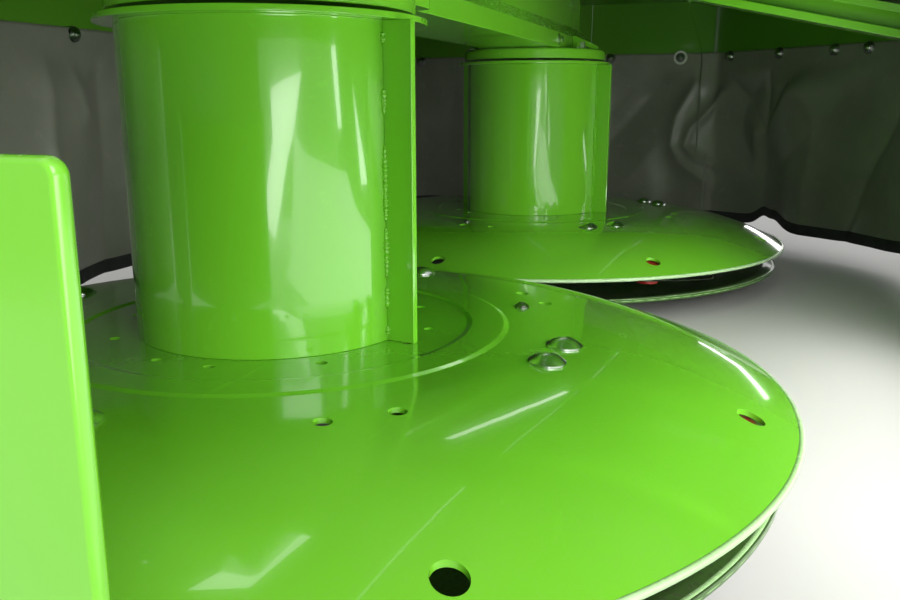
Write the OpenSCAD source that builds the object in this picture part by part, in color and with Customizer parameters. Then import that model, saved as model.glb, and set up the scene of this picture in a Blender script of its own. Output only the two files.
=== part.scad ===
// Two-drum mowing unit of a drum mower: beam, two drums on domed discs with swinging
// knives, skid dishes, guard hood with a hinged front flap and hanging curtains.
// X runs along the beam, +Y is the rear, Z = 0 is the ground under the skid dishes.

/* [Layout] */
// Distance between the two drum axes
drum_pitch = 920; // [880:5:1040]
// Running gap between parts that turn past each other
run_gap = 4; // [3:0.5:8]
// Gap between parts that sit close without touching
seat_gap = 0.3; // [0.2:0.05:0.5]
// Gap between the knives and the rim of the disc over them
knife_clear = 5.5; // [5:0.5:7]
// Gap between a knife bar and the skin of the disc over its end
bar_skin_gap = 1.2; // [1:0.1:2]
// Radial clearance of a running shaft in its bore
shaft_clear = 0.05; // [0.02:0.01:0.1]

/* [Skid dish] */
// Outer diameter of a skid dish
dish_d = 874; // [820:2:880]
// Height of the dish rim over the ground
dish_h = 41; // [34:1:46]
// Diameter of the flat sole
dish_sole_d = 500; // [420:10:620]
// Sheet thickness of the dish
dish_wall = 5; // [3:0.5:8]
// Outer diameter of the dish hub
dish_hub_d = 120; // [100:2:160]
// Height of the top of the dish hub
dish_hub_z = 58; // [54:1:66]

/* [Cutting disc] */
// Outer diameter of a cutting disc
disc_d = 898; // [860:2:910]
// Gap from dish rim to disc rim, where the knives run
knife_slot = 30; // [28:1:40]
// Drop from the crown of the disc to its rim
disc_drop = 51; // [46:1:60]
// Sheet thickness of the disc
disc_wall = 4; // [3:0.5:5]
// Radius of the flat crown, where the dome begins
crown_flat_r = 235; // [225:1:245]
// Height of the turned edge at the rim of the disc
rim_edge = 4; // [3:0.5:5]
// Outer radius of the raised ring round the drum
ring_r = 207; // [195:1:212]
// Width of the raised ring
ring_w = 33; // [24:1:40]
// Height of the raised ring
ring_h = 1.5; // [1:0.5:2]
// Distance from the disc's edge to the circle of access holes
access_edge = 38; // [34:1:44]
// Diameter of an access hole
access_d = 21; // [18:1:24]
// Distance from the disc's edge to the circle of knife pins
pin_edge = 52; // [48:1:60]
// Radius of the circle of knife bar bolts
bar_bolt_r = 262; // [255:1:265]
// Distance between the two bolts of a knife bar
bar_bolt_gap = 50; // [40:1:60]

/* [Drum] */
// Outer diameter of a drum
drum_d = 242; // [220:2:250]
// Height of a drum from the disc to the top of its lip
drum_h = 262; // [240:1:320]
// Wall thickness of the drum
drum_wall = 6; // [4:0.5:10]
// Diameter of the lip plate on top of the drum
lip_d = 274; // [260:2:290]
// Thickness of the lip plate
lip_t = 5; // [3:0.5:8]
// How far a crop fin stands out of the drum
fin_w = 26; // [15:1:30]
// Thickness of a crop fin
fin_t = 6; // [4:0.5:8]

/* [Axle] */
// Diameter of the fixed axle inside a drum
axle_d = 70; // [60:2:80]
// Diameter of the axle stub that carries the dish
stub_d = 50; // [40:2:56]

/* [Knives] */
// Distance from knife pin to knife tip
knife_reach = 98; // [80:1:104]
// Width of a knife
knife_w = 48; // [36:1:54]
// Thickness of a knife
knife_t = 4; // [3:0.5:5]
// Width of the ground bevel along both edges of a knife
knife_bevel = 9; // [6:1:12]
// Turn of a parked knife from straight out, backwards
knife_rest = 80; // [0:5:100]
// Diameter of a knife pin
pin_d = 20; // [14:1:22]
// Width of a knife bar at its bolts
bar_w = 70; // [66:1:84]
// Thickness of a knife bar
bar_t = 6; // [4:0.5:7]
// Radius of the round end of a knife bar
bar_over = 19; // [16:1:21]
// Outer diameter of the boss that a knife hangs from
boss_d = 34; // [28:1:38]
// Diameter of the head under a knife
head_d = 32; // [28:1:38]
// Thickness of that head
head_t = 5; // [4:0.5:7]

/* [Collar] */
// Diameter of the fixed collar over a drum
collar_d = 254; // [240:2:270]
// Height of the collar
collar_h = 18; // [14:1:24]

/* [Beam] */
// Width of the lower part of the beam
beam_w = 132; // [120:2:150]
// Width of the upper part of the beam
beam_top_w = 90; // [80:2:100]
// Height of the beam
beam_h = 146; // [130:1:170]
// Height of the lower side faces of the beam
beam_side_h = 25; // [20:1:40]
// Wall thickness of the beam
beam_wall = 6; // [4:0.5:8]
// How far the beam runs past the far drum axis
beam_over = 165; // [140:5:200]
// How far the drive head runs past the near drum, away from the beam
head_over = 220; // [200:5:260]
// How far the drive head runs past the near drum, towards the beam
head_inner = 180; // [160:5:200]
// Width of the drive head
head_w = 170; // [160:2:200]

/* [Guard hood] */
// Half length of the guard hood
hood_half = 1000; // [980:5:1060]
// Distance from the beam axis to the rear skirt
hood_rear = 583; // [560:1:640]
// Radius of the rear corners of the hood
hood_corner_r = 20; // [12:1:40]
// Height of the pressed beads on the covers
bead_h = 6; // [4:0.5:10]
// Width of a bead
bead_w = 56; // [40:1:80]
// Length of a bead
bead_len = 1840; // [1400:10:1900]
// Length of the bead on the flap
flap_bead_len = 1200; // [900:10:1400]
// Distance from the hinge to the bead on the flap
flap_bead_y = 150; // [110:5:220]
// Distance from the beam axis to the hinge of the front flap
flap_hinge_y = 222; // [200:1:240]
// Distance from the beam axis to the front edge of the flap
hood_front = 700; // [660:5:760]
// Length of the cut corners of the flap
flap_corner = 420; // [360:5:440]
// Slope of the flap in degrees
flap_slope = 12.5; // [8:0.5:14]
// Sheet thickness of the hood
hood_wall = 3; // [2:0.5:4]
// Drop of the hood top under the beam top
hood_under_beam = 12; // [8:1:20]
// Height of the lower edge of the skirts
skirt_z = 392; // [380:1:400]
// How far the ends of the flap stand outside the fixed skirts
flap_lap = 8; // [6:1:12]
// Gap under the flap where it lies over the guard arms
flap_rest = 6; // [5:0.5:10]
// How far the skirt seam at the flap leans to the front
seam_lean = 52; // [30:1:60]
// How far the end skirts of the flap lap over the fixed skirts
seam_lap = 14; // [8:1:20]
// Place of the near guard arms along the beam
arm_near_x = -240; // [-250:5:-200]
// Place of the far guard arms along the beam
arm_far_x = 340; // [300:5:380]
// Width of a guard arm
arm_w = 40; // [30:1:60]
// Height of a guard arm
arm_h = 46; // [36:1:56]

/* [Curtains] */
// Height of the top edge of the curtains
curtain_top = 424; // [415:1:440]
// Height of the lower edge of the curtains
curtain_bottom = 47; // [30:1:70]
// Thickness of a curtain
curtain_t = 4; // [3:0.5:6]
// How far the flap's curtain laps behind the end curtain
curtain_lap = 24; // [15:1:40]
// Gap between those two curtains
curtain_gap = 5; // [5:0.5:8]

/* [End plate] */
// Height of the top of the near end plate
end_plate_top = 308; // [280:1:330]
// Height of the foot of the near end plate
end_plate_foot = 62; // [50:1:90]
// Front edge of the end plate, from the beam axis
end_plate_front = 281; // [270:1:320]
// Rear edge of the end plate, from the beam axis
end_plate_rear = 330; // [280:1:400]
// Thickness of the end plate
end_plate_t = 5; // [4:0.5:8]
// Radius of the corners of the end plate
end_plate_r = 4; // [3:1:20]

/* [Drive and carrier] */
// Height of the input shaft over the drive head
input_h = 116; // [112:1:130]
// Diameter of the input shaft
input_d = 35; // [30:1:45]
// Outer diameter of the belt pulley
pulley_d = 220; // [200:5:224]
// Number of belt grooves
pulley_grooves = 4; // [2:1:5]
// Pitch of the belt grooves
groove_pitch = 19; // [15:1:22]
// Diameter of the carrier pivot bore
pivot_d = 40; // [30:1:50]
// Height of that bore over the beam
pivot_over = 90; // [80:2:120]
// Thickness of a carrier lug
lug_t = 20; // [14:1:25]
// Radius of a lug round the bore
lug_r = 38; // [30:1:44]
// Length of the foot of a lug
lug_foot = 92; // [88:2:120]
// Free space between the carrier lugs
lug_space = 110; // [90:2:120]

/* [Hidden] */
$fn = 96;

// Heights, from the ground up
rim_z = dish_h + knife_slot;
crown_z = rim_z + disc_drop;
drum_top_z = crown_z + drum_h;
collar_z = drum_top_z + run_gap;
beam_z = collar_z + collar_h;
beam_top_z = beam_z + beam_h;
hood_top_z = beam_top_z - hood_under_beam;
access_r = disc_d / 2 - access_edge;
pin_r = disc_d / 2 - pin_edge;
knife_z = rim_z - knife_clear - knife_t;

// The two drums: place on X, turn of the fins, turn of the first knife bar, side to which
// the parked knives trail
DRUM_X = 0;
DRUM_FIN = 1;
DRUM_KNIFE = 2;
DRUM_TRAIL = 3;
NEAR = [-drum_pitch / 2, -100, -93, -1];
FAR = [drum_pitch / 2, -101, -50, 1];
KNIVES = 4;
FINS = 2;

head_x = NEAR[DRUM_X] + head_inner;
head_end_x = NEAR[DRUM_X] - head_over;
head_len = head_over + head_inner;
head_mid_x = (head_x + head_end_x) / 2;
beam_end_x = FAR[DRUM_X] + beam_over;
shoulder = (beam_w - beam_top_w) / 2;

GREEN = "#4f9a1c";
DARK_GREEN = "#2f5c18";
RED = "#a32018";
STEEL = "#8b8f90";
CLOTH = "#55584c";

// Points of a bent sheet's second face, t away from its first face, to the right of
// the way the points run
function unit(v) = v / norm(v);
function right_of(a, b) = let (d = unit(b - a)) [d[1], -d[0]];
function shifted(p, t) = [
    for (i = [0 : len(p) - 1])
        let (
            n1 = right_of(p[max(i - 1, 0)], p[max(i, 1)]),
            n2 = right_of(p[min(i, len(p) - 2)], p[min(i + 1, len(p) - 1)])
        )
        p[i] + t * (n1 + n2) / (1 + n1 * n2)
];
function reversed(p) = [for (i = [len(p) - 1 : -1 : 0]) p[i]];
module sheet_profile(p, t) {
    polygon(concat(p, reversed(shifted(p, t))));
}

module around(drum, count, first) {
    for (i = [0 : count - 1])
        translate([drum[DRUM_X], 0, 0])
            rotate([0, 0, first + i * 360 / count])
                children();
}

module tube(z, h, d, bore) {
    translate([0, 0, z])
        difference() {
            cylinder(h = h, d = d);
            translate([0, 0, -1])
                cylinder(h = h + 2, d = bore);
        }
}

// Skid dish: flat sole, a round chine and a flared side that ends in a turned rim
module dish(drum) {
    sole_r = dish_sole_d / 2;
    side = [
        [stub_d / 2 + 12, dish_wall],
        [sole_r, dish_wall],
        [sole_r + 50, dish_wall + 3],
        [dish_d / 2 - 40, dish_h - 10],
        [dish_d / 2 - 12, dish_h],
        [dish_d / 2, dish_h]
    ];
    color(GREEN)
        translate([drum[DRUM_X], 0, 0])
            rotate_extrude()
                sheet_profile(side, dish_wall);
}

module dish_hub(drum) {
    base = dish_wall;
    color(STEEL)
        translate([drum[DRUM_X], 0, 0])
            rotate_extrude()
                polygon([
                    [stub_d / 2 + shaft_clear, base],
                    [dish_hub_d / 2 + 40, base],
                    [dish_hub_d / 2 + 40, base + 8],
                    [dish_hub_d / 2, base + 14],
                    [dish_hub_d / 2, dish_hub_z - 4],
                    [dish_hub_d / 2 - 4, dish_hub_z],
                    [stub_d / 2 + shaft_clear, dish_hub_z]
                ]);
}

// Fixed axle: thick in the drum, thinner where the dish turns on it
module axle(drum) {
    shoulder_z = dish_hub_z + seat_gap;
    color(STEEL)
        translate([drum[DRUM_X], 0, 0]) {
            translate([0, 0, dish_wall + 3])
                cylinder(h = shoulder_z - dish_wall - 3, d = stub_d);
            translate([0, 0, shoulder_z])
                cylinder(h = beam_z - shoulder_z, d = axle_d);
        }
}

// Pressed disc: flat crown with a low ring whose flanks swell in and out, then a dome that
// is one arc from the crown to the turned edge at the rim
dome_end_r = disc_d / 2 - rim_edge;
dome_h = disc_drop - rim_edge;
dome_arc_r = (pow(dome_end_r - crown_flat_r, 2) + pow(dome_h, 2)) / (2 * dome_h);
dome_steps = 11;
function dome_out(r) = max(0, r - crown_flat_r);
function dome_z(r) = crown_z - dome_arc_r + sqrt(pow(dome_arc_r, 2) - pow(dome_out(r), 2));
function skin_z(r) = dome_z(r) - disc_wall / cos(asin(dome_out(r) / dome_arc_r));
ring_flank = 6;
flank_steps = 4;
function swell(t) = (1 - cos(180 * t)) / 2;
function flank(r, up) = [
    for (i = [0 : flank_steps])
        let (t = i / flank_steps)
        [r + (t - 0.5) * ring_flank, crown_z + ring_h * (up ? swell(t) : 1 - swell(t))]
];
function disc_line() = concat(
    [[axle_d / 2 + shaft_clear, crown_z]],
    flank(ring_r - ring_w, true),
    flank(ring_r, false),
    [
        for (i = [0 : dome_steps])
            let (r = crown_flat_r + i * (dome_end_r - crown_flat_r) / dome_steps)
            [r, dome_z(r)]
    ],
    [[disc_d / 2 - 1, dome_z(dome_end_r) - 1.5], [disc_d / 2, rim_z + 1], [disc_d / 2, rim_z]]
);

// Holes of the disc: one for access and two for bolts at each knife station, and between
// them the small ones of the hub
HUB_HOLES = [-8, 12, 47];
hub_hole_out = 19;
hub_hole_d = 9;
bolt_hole_d = 13;
module disc(drum) {
    bolt_turn = asin(bar_bolt_gap / 2 / bar_bolt_r);
    color(GREEN)
        difference() {
            translate([drum[DRUM_X], 0, 0])
                rotate_extrude()
                    sheet_profile(disc_line(), disc_wall);
            around(drum, 2 * KNIVES, drum[DRUM_KNIFE]) {
                translate([access_r, 0, rim_z])
                    cylinder(h = disc_drop, d = access_d);
                for (side = [-1, 1])
                    rotate([0, 0, side * bolt_turn])
                        translate([bar_bolt_r, 0, rim_z])
                            cylinder(h = disc_drop + 1, d = bolt_hole_d);
            }
            for (turn = HUB_HOLES)
                around(drum, KNIVES, drum[DRUM_KNIFE] + turn)
                    translate([drum_d / 2 + hub_hole_out, 0, rim_z])
                        cylinder(h = disc_drop + 1, d = hub_hole_d);
        }
}

// Drum: hub, tube and the lip plate that closes it on top
module drum_shell(drum) {
    color(GREEN)
        translate([drum[DRUM_X], 0, 0]) {
            tube(crown_z, drum_h, drum_d, drum_d - 2 * drum_wall);
            tube(drum_top_z - lip_t, lip_t, lip_d, axle_d + 2 * shaft_clear);
            tube(crown_z, 40, axle_d + 40, axle_d + 2 * shaft_clear);
            tube(crown_z, 6, drum_d - drum_wall, axle_d + 2 * shaft_clear);
        }
}

module fins(drum) {
    color(GREEN)
        around(drum, FINS, drum[DRUM_FIN])
            difference() {
                translate([drum_d / 2 - 2, -fin_t / 2, crown_z])
                    cube([fin_w + 2, fin_t, drum_h - lip_t]);
                rotate([0, 0, -drum[DRUM_FIN]])
                    translate([0, 0, crown_z - 1])
                        cylinder(h = drum_h, d = drum_d);
            }
}

// Knife bars: bolted under the crown on a pad, bent down along the dome, narrow and round
// at the end, with a boss, a pin and a head that the knife hangs on
bar_in_r = bar_bolt_r - 24;
bar_bend_r = bar_bolt_r + 24;
bar_pad_r = bar_bolt_r + 4;
bar_end_r = pin_r + bar_over;
bar_flat_z = skin_z(bar_bend_r) - bar_skin_gap;
function bar_line() = [
    [bar_in_r, bar_flat_z], [bar_bend_r, bar_flat_z],
    [bar_end_r, skin_z(bar_end_r) - bar_skin_gap]
];
module bar_side() {
    translate([0, bar_w / 2 + 1, 0])
        rotate([90, 0, 0])
            linear_extrude(bar_w + 2)
                children();
}
module bar_plan() {
    wide = bar_w / 2;
    polygon([
        [bar_in_r, -wide], [bar_bend_r, -wide], [pin_r, -bar_over],
        [pin_r, bar_over], [bar_bend_r, wide], [bar_in_r, wide]
    ]);
    translate([pin_r, 0])
        circle(r = bar_over);
}
module knife_bar() {
    low = knife_z - seat_gap - head_t;
    pad_top = skin_z(norm([bar_pad_r, bar_w / 2])) - seat_gap;
    middle = shifted(bar_line(), bar_t / 2);
    intersection() {
        bar_side()
            sheet_profile(bar_line(), bar_t);
        translate([0, 0, rim_z - knife_clear])
            linear_extrude(disc_drop)
                bar_plan();
    }
    translate([bar_in_r, -bar_w / 2, bar_flat_z - 1])
        cube([bar_pad_r - bar_in_r, bar_w, pad_top - bar_flat_z + 1]);
    intersection() {
        bar_side()
            polygon(concat(middle, [[bar_end_r, low - 1], [bar_in_r, low - 1]]));
        translate([pin_r, 0, 0]) {
            translate([0, 0, knife_z + knife_t + seat_gap])
                cylinder(h = disc_drop, d = boss_d);
            translate([0, 0, low])
                cylinder(h = disc_drop, d = pin_d);
            translate([0, 0, low])
                cylinder(h = head_t, d = head_d);
        }
    }
}
module knife_bars(drum) {
    color(RED)
        around(drum, KNIVES, drum[DRUM_KNIFE])
            knife_bar();
}

// Knife: flat blade with a bore for its pin, round behind the pin, ground to a bevel
// along both edges and cut off at the corners of its tip
knife_corner = 8;
knife_edge_t = 0.8;
module knife_plan() {
    half = knife_w / 2;
    circle(r = half);
    polygon([
        [0, -half], [knife_reach - knife_corner, -half], [knife_reach, -half + knife_corner],
        [knife_reach, half - knife_corner], [knife_reach - knife_corner, half], [0, half]
    ]);
}
module knife_section() {
    half = knife_w / 2;
    translate([-knife_w, 0, 0])
        rotate([90, 0, 90])
            linear_extrude(knife_reach + 2 * knife_w)
                polygon([
                    [-half, 0], [half, 0], [half, knife_edge_t], [half - knife_bevel, knife_t],
                    [knife_bevel - half, knife_t], [-half, knife_edge_t]
                ]);
}
module knife(drum, place) {
    color(STEEL)
        around(drum, 1, drum[DRUM_KNIFE] + place * 360 / KNIVES)
            translate([pin_r, 0, knife_z])
                rotate([0, 0, drum[DRUM_TRAIL] * knife_rest])
                    difference() {
                        intersection() {
                            linear_extrude(knife_t)
                                knife_plan();
                            knife_section();
                        }
                        translate([0, 0, -1])
                            cylinder(h = knife_t + 2, d = pin_d + 2 * shaft_clear);
                    }
}

// Collar: fixed cover ring under the beam, with a gusset plate to each side face of what
// it hangs from
gusset_t = 8;
gusset_in = 14;
module collar(drum, foot_w) {
    edge = 6;
    bore = axle_d / 2;
    color(GREEN) {
        translate([drum[DRUM_X], 0, 0])
            rotate_extrude()
                polygon([
                    [bore, collar_z], [collar_d / 2, collar_z],
                    [collar_d / 2, beam_z - edge],
                    [collar_d / 2 - 2, beam_z - 2],
                    [collar_d / 2 - edge, beam_z],
                    [bore, beam_z]
                ]);
        for (side = [-1, 1])
            translate([drum[DRUM_X] + 10, 0, beam_z])
                mirror([0, side < 0 ? 1 : 0, 0])
                    gusset(foot_w / 2, collar_d / 2 - gusset_in);
    }
}
module gusset(from, to) {
    rotate([90, 0, 90])
        linear_extrude(gusset_t)
            polygon([[from, -1], [to, -1], [to, 6], [from + 6, beam_side_h], [from, beam_side_h]]);
}

// Beam: folded box, wide at the foot, with sloping shoulders and a narrower top
function beam_section(inset) =
    let (
        foot = beam_w / 2 - inset,
        top = beam_top_w / 2 - inset,
        fold = inset * tan(22.5),
        high = beam_h - inset
    )
    [
        [-foot, inset], [foot, inset],
        [foot, beam_side_h - fold], [top, beam_side_h + shoulder - fold],
        [top, high], [-top, high],
        [-top, beam_side_h + shoulder - fold], [-foot, beam_side_h - fold]
    ];
module beam_length(from, to, inset) {
    translate([from, 0, beam_z])
        rotate([90, 0, 90])
            linear_extrude(to - from)
                polygon(beam_section(inset));
}
module beam_housing() {
    color(GREEN)
        difference() {
            beam_length(head_x, beam_end_x, 0);
            beam_length(head_x - 1, beam_end_x + 1, beam_wall);
        }
}
module beam_lid() {
    lid_gap = 30;
    lid_edge = 6;
    lid_t = 5;
    color(GREEN)
        translate([head_x + lid_gap, -beam_top_w / 2 + lid_edge, beam_top_z])
            cube([beam_end_x - head_x - 2 * lid_gap, beam_top_w - 2 * lid_edge, lid_t]);
}
module beam_end_plate() {
    color(GREEN)
        beam_length(beam_end_x, beam_end_x + beam_wall, 0);
}

// Drive head over the near drum
head_lid_t = 10;
module rounded_block(x, y, z, r) {
    for (i = [0, 1]) {
        translate([-x / 2 + (i == 0 ? r : 0), -y / 2 + (i == 0 ? 0 : r), 0])
            cube([x - (i == 0 ? 2 * r : 0), y - (i == 0 ? 0 : 2 * r), z]);
    }
    for (sx = [-1, 1])
        for (sy = [-1, 1])
            translate([sx * (x / 2 - r), sy * (y / 2 - r), 0])
                cylinder(h = z, r = r);
}
module drive_head() {
    color(GREEN)
        translate([head_mid_x, 0, beam_z])
            rounded_block(head_len, head_w, beam_h - head_lid_t, 16);
}
module head_lid() {
    color(GREEN)
        translate([head_mid_x, 0, beam_top_z - head_lid_t])
            rounded_block(head_len, head_w, head_lid_t, 16);
}

input_z = beam_top_z + input_h;
gearbox_len = 150;
gearbox_w = 150;
bearing_d = 130;
neck_d = 104;
neck_len = 30;
cap_t = 12;
foot_t = 14;
box_over_input = 45;
module along_input(from, to, d) {
    translate([0, to, input_z])
        rotate([90, 0, 0])
            cylinder(h = to - from, d = d);
}
module bevel_gearbox() {
    box_top = input_h + box_over_input;
    rib_t = 8;
    rib_out = 10;
    front = gearbox_w / 2;
    color(GREEN)
        translate([NEAR[DRUM_X], 0, 0]) {
            translate([0, 0, beam_top_z])
                rounded_block(gearbox_len + 30, gearbox_w + 10, foot_t, 20);
            translate([0, 0, beam_top_z + foot_t])
                rounded_block(gearbox_len, gearbox_w, box_top - foot_t, 24);
            for (y = [-40, 40])
                translate([-gearbox_len / 2 - rib_out, y - rib_t / 2, beam_top_z + foot_t])
                    cube([gearbox_len + 2 * rib_out, rib_t, box_top - foot_t - 24]);
            for (x = [-40, 40])
                translate([x - rib_t / 2, -front - rib_out, beam_top_z + foot_t])
                    cube([rib_t, rib_out + 1, box_top - foot_t - 24]);
            difference() {
                union() {
                    along_input(front - 1, front + neck_len, neck_d);
                    along_input(front + neck_len - cap_t, front + neck_len, bearing_d);
                    along_input(-front - cap_t, -front + 1, bearing_d - 20);
                }
                along_input(front + neck_len - 20, front + neck_len + 1, input_d + 2 * shaft_clear);
            }
        }
}

pulley_w = pulley_grooves * groove_pitch + 10;
pulley_y = gearbox_w / 2 + neck_len + 12;
module input_shaft() {
    color(STEEL)
        translate([NEAR[DRUM_X], pulley_y + pulley_w + 14, input_z])
            rotate([90, 0, 0])
                cylinder(h = pulley_w + 14 + 12 + 18, d = input_d);
}
module belt_pulley() {
    groove = 13;
    outer = pulley_d / 2;
    rim = concat(
        [[0, outer - groove - 14], [0, outer]],
        [for (i = [0 : pulley_grooves - 1])
            let (at = 5 + i * groove_pitch + groove_pitch / 2)
            each [[at - 7, outer], [at - 3, outer - groove], [at + 3, outer - groove], [at + 7, outer]]],
        [[pulley_w, outer], [pulley_w, outer - groove - 14]]
    );
    color(STEEL)
        translate([NEAR[DRUM_X], pulley_y, input_z])
            rotate([-90, 0, 0]) {
                rotate_extrude()
                    polygon([for (p = rim) [p[1], p[0]]]);
                difference() {
                    translate([0, 0, pulley_w / 2 - 8])
                        cylinder(h = 16, d = pulley_d - 2 * groove - 27);
                    cylinder(h = pulley_w, d = 80);
                    for (i = [0 : 4])
                        rotate([0, 0, i * 72])
                            translate([68, 0, 0])
                                cylinder(h = pulley_w, d = 34);
                }
                difference() {
                    cylinder(h = pulley_w, d = 81);
                    translate([0, 0, -1])
                        cylinder(h = pulley_w + 2, d = input_d);
                }
            }
}

// Carrier lugs on the near end of the drive head, round over the pivot bore
lug_x = head_end_x + lug_foot / 2;
module carrier_lugs() {
    color(GREEN)
        for (side = [-1, 1])
            translate([lug_x, side * (lug_space + lug_t) / 2 + lug_t / 2, beam_top_z])
                rotate([90, 0, 0])
                    linear_extrude(lug_t)
                        difference() {
                            union() {
                                polygon([
                                    [-lug_foot / 2, 0], [lug_foot / 2, 0],
                                    [lug_r, pivot_over], [-lug_r, pivot_over]
                                ]);
                                translate([0, pivot_over])
                                    circle(r = lug_r);
                            }
                            translate([0, pivot_over])
                                circle(d = pivot_d);
                        }
}

// Guard hood: flat cover plates with deep skirts and pressed beads, cut out round the beam
BEAD_Y = [220, 420];
module beam_plan(gap) {
    translate([head_x - 1, -beam_top_w / 2 - gap])
        square([beam_end_x + beam_wall + gap - head_x + 1, beam_top_w + 2 * gap]);
    translate([head_end_x - gap, -head_w / 2 - gap])
        square([head_len + 2 * gap, head_w + 2 * gap]);
}
module cover_plan(front, rear, inset) {
    r = hood_corner_r;
    half = hood_half - inset;
    back = rear - inset;
    translate([-half, front])
        square([2 * half, back - r - front]);
    translate([-half + r, front])
        square([2 * (half - r), back - front]);
    for (side = [-1, 1])
        translate([side * (half - r), back - r])
            circle(r = r);
}
module bead(y, len, drop) {
    high = bead_h - drop;
    foot = bead_w / 2 - drop;
    translate([-len / 2 + drop, y, hood_top_z - hood_wall - 1])
        rotate([90, 0, 90])
            linear_extrude(len - 2 * drop)
                polygon([
                    [-foot, 0], [foot, 0], [foot, hood_wall + 1],
                    [foot - bead_h, hood_wall + 1 + high], [bead_h - foot, hood_wall + 1 + high],
                    [-foot, hood_wall + 1]
                ]);
}
module hood_rear_cover() {
    edge = seat_gap / 2;
    color(DARK_GREEN)
        difference() {
            union() {
                translate([0, 0, skirt_z])
                    linear_extrude(hood_top_z - skirt_z)
                        cover_plan(edge, hood_rear, 0);
                for (y = BEAD_Y)
                    bead(y, bead_len, 0);
            }
            translate([0, 0, skirt_z - 1])
                linear_extrude(hood_top_z - hood_wall - skirt_z + 1)
                    cover_plan(-1, hood_rear, hood_wall);
            for (y = BEAD_Y)
                bead(y, bead_len, hood_wall);
            translate([0, 0, skirt_z])
                linear_extrude(hood_top_z - skirt_z + bead_h + 1)
                    beam_plan(seat_gap);
        }
}

// The seam between the fixed end skirt and the flap leans to the front at its foot
module seam_side(shift) {
    rotate([90, 0, 90])
        translate([0, 0, -hood_half - 50])
            linear_extrude(2 * hood_half + 100)
                polygon([
                    [-flap_hinge_y + shift, hood_top_z + 40],
                    [-flap_hinge_y + shift, hood_top_z - hood_wall],
                    [-flap_hinge_y - seam_lean + shift, skirt_z - 10],
                    [hood_rear, skirt_z - 10],
                    [hood_rear, hood_top_z + 40]
                ]);
}
module hood_front_cover() {
    edge = seat_gap / 2;
    color(DARK_GREEN)
        intersection() {
            seam_side(run_gap);
            difference() {
                translate([-hood_half, -hood_front, skirt_z])
                    cube([2 * hood_half, hood_front - edge, hood_top_z - skirt_z]);
                translate([-hood_half + hood_wall, -hood_front - 1, skirt_z - 1])
                    cube([
                        2 * (hood_half - hood_wall), hood_front + 2,
                        hood_top_z - hood_wall - skirt_z + 1
                    ]);
                translate([0, 0, skirt_z])
                    linear_extrude(hood_top_z - skirt_z + 1)
                        beam_plan(seat_gap);
            }
        }
}

// Front flap: sloping plate with cut corners and skirts on its ends and front
flap_half = hood_half + flap_lap;
flap_corner_y = hood_front - flap_corner;
module flap_plan(inset) {
    cut = inset * tan(22.5);
    polygon([
        [-flap_half + inset, 0], [flap_half - inset, 0],
        [flap_half - inset, -flap_corner_y + cut],
        [flap_half - flap_corner - cut, -hood_front + inset],
        [-flap_half + flap_corner + cut, -hood_front + inset],
        [-flap_half + inset, -flap_corner_y + cut]
    ]);
}
module under_slope(drop) {
    translate([0, -flap_hinge_y, hood_top_z - drop])
        rotate([flap_slope, 0, 0])
            translate([-flap_half - 10, -hood_front, -400])
                cube([2 * flap_half + 20, hood_front + 200, 400]);
}
module flap_bead(drop) {
    translate([0, -flap_hinge_y, hood_top_z])
        rotate([flap_slope, 0, 0])
            translate([0, 0, -hood_top_z])
                bead(-flap_bead_y, flap_bead_len, drop);
}
module front_flap() {
    color(DARK_GREEN)
        difference() {
            union() {
                intersection() {
                    translate([0, 0, skirt_z])
                        linear_extrude(hood_top_z - skirt_z)
                            flap_plan(0);
                    under_slope(0);
                }
                flap_bead(0);
            }
            flap_bead(hood_wall);
            intersection() {
                translate([0, 0, skirt_z - 1])
                    linear_extrude(hood_top_z - skirt_z)
                        flap_plan(hood_wall);
                under_slope(hood_wall / cos(flap_slope));
            }
            intersection() {
                seam_side(0);
                translate([hood_wall - flap_half, -hood_front, 0])
                    cube([2 * (flap_half - hood_wall), 2 * hood_front, 2 * hood_top_z]);
            }
            seam_side(seam_lap);
        }
}

// Flap hinges: knuckles on both covers round one pin each, on leaves that lie on the
// covers
HINGE_X = [-780, -260, 260, 780];
hinge_z = hood_top_z + 12;
knuckle_w = 30;
knuckle_r = 10;
hinge_pin_r = 5;
leaf_t = 5;
leaf_near = 4;
leaf_far = 60;
module across(x, w) {
    translate([x - w / 2, 0, 0])
        rotate([90, 0, 90])
            linear_extrude(w)
                children();
}
module hinge_leaf(direction, normal) {
    root = [-flap_hinge_y, hood_top_z];
    translate([-flap_hinge_y, hinge_z])
        circle(r = knuckle_r);
    polygon([
        root + leaf_near * direction, root + leaf_far * direction,
        root + leaf_far * direction + leaf_t * normal,
        root + leaf_near * direction + leaf_t * normal
    ]);
}
module flap_hinge_fixed() {
    color(DARK_GREEN)
        for (x = HINGE_X) {
            for (side = [-1, 1])
                across(x + side * (knuckle_w + 1), knuckle_w)
                    hinge_leaf([1, 0], [0, 1]);
            across(x, knuckle_w + 4)
                translate([-flap_hinge_y, hinge_z])
                    circle(r = hinge_pin_r);
        }
}
module flap_hinge_leaves() {
    down = [-cos(flap_slope), -sin(flap_slope)];
    color(DARK_GREEN)
        for (x = HINGE_X)
            across(x, knuckle_w)
                difference() {
                    hinge_leaf(down, [-sin(flap_slope), cos(flap_slope)]);
                    translate([-flap_hinge_y, hinge_z])
                        circle(r = hinge_pin_r + shaft_clear);
                }
}

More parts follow.
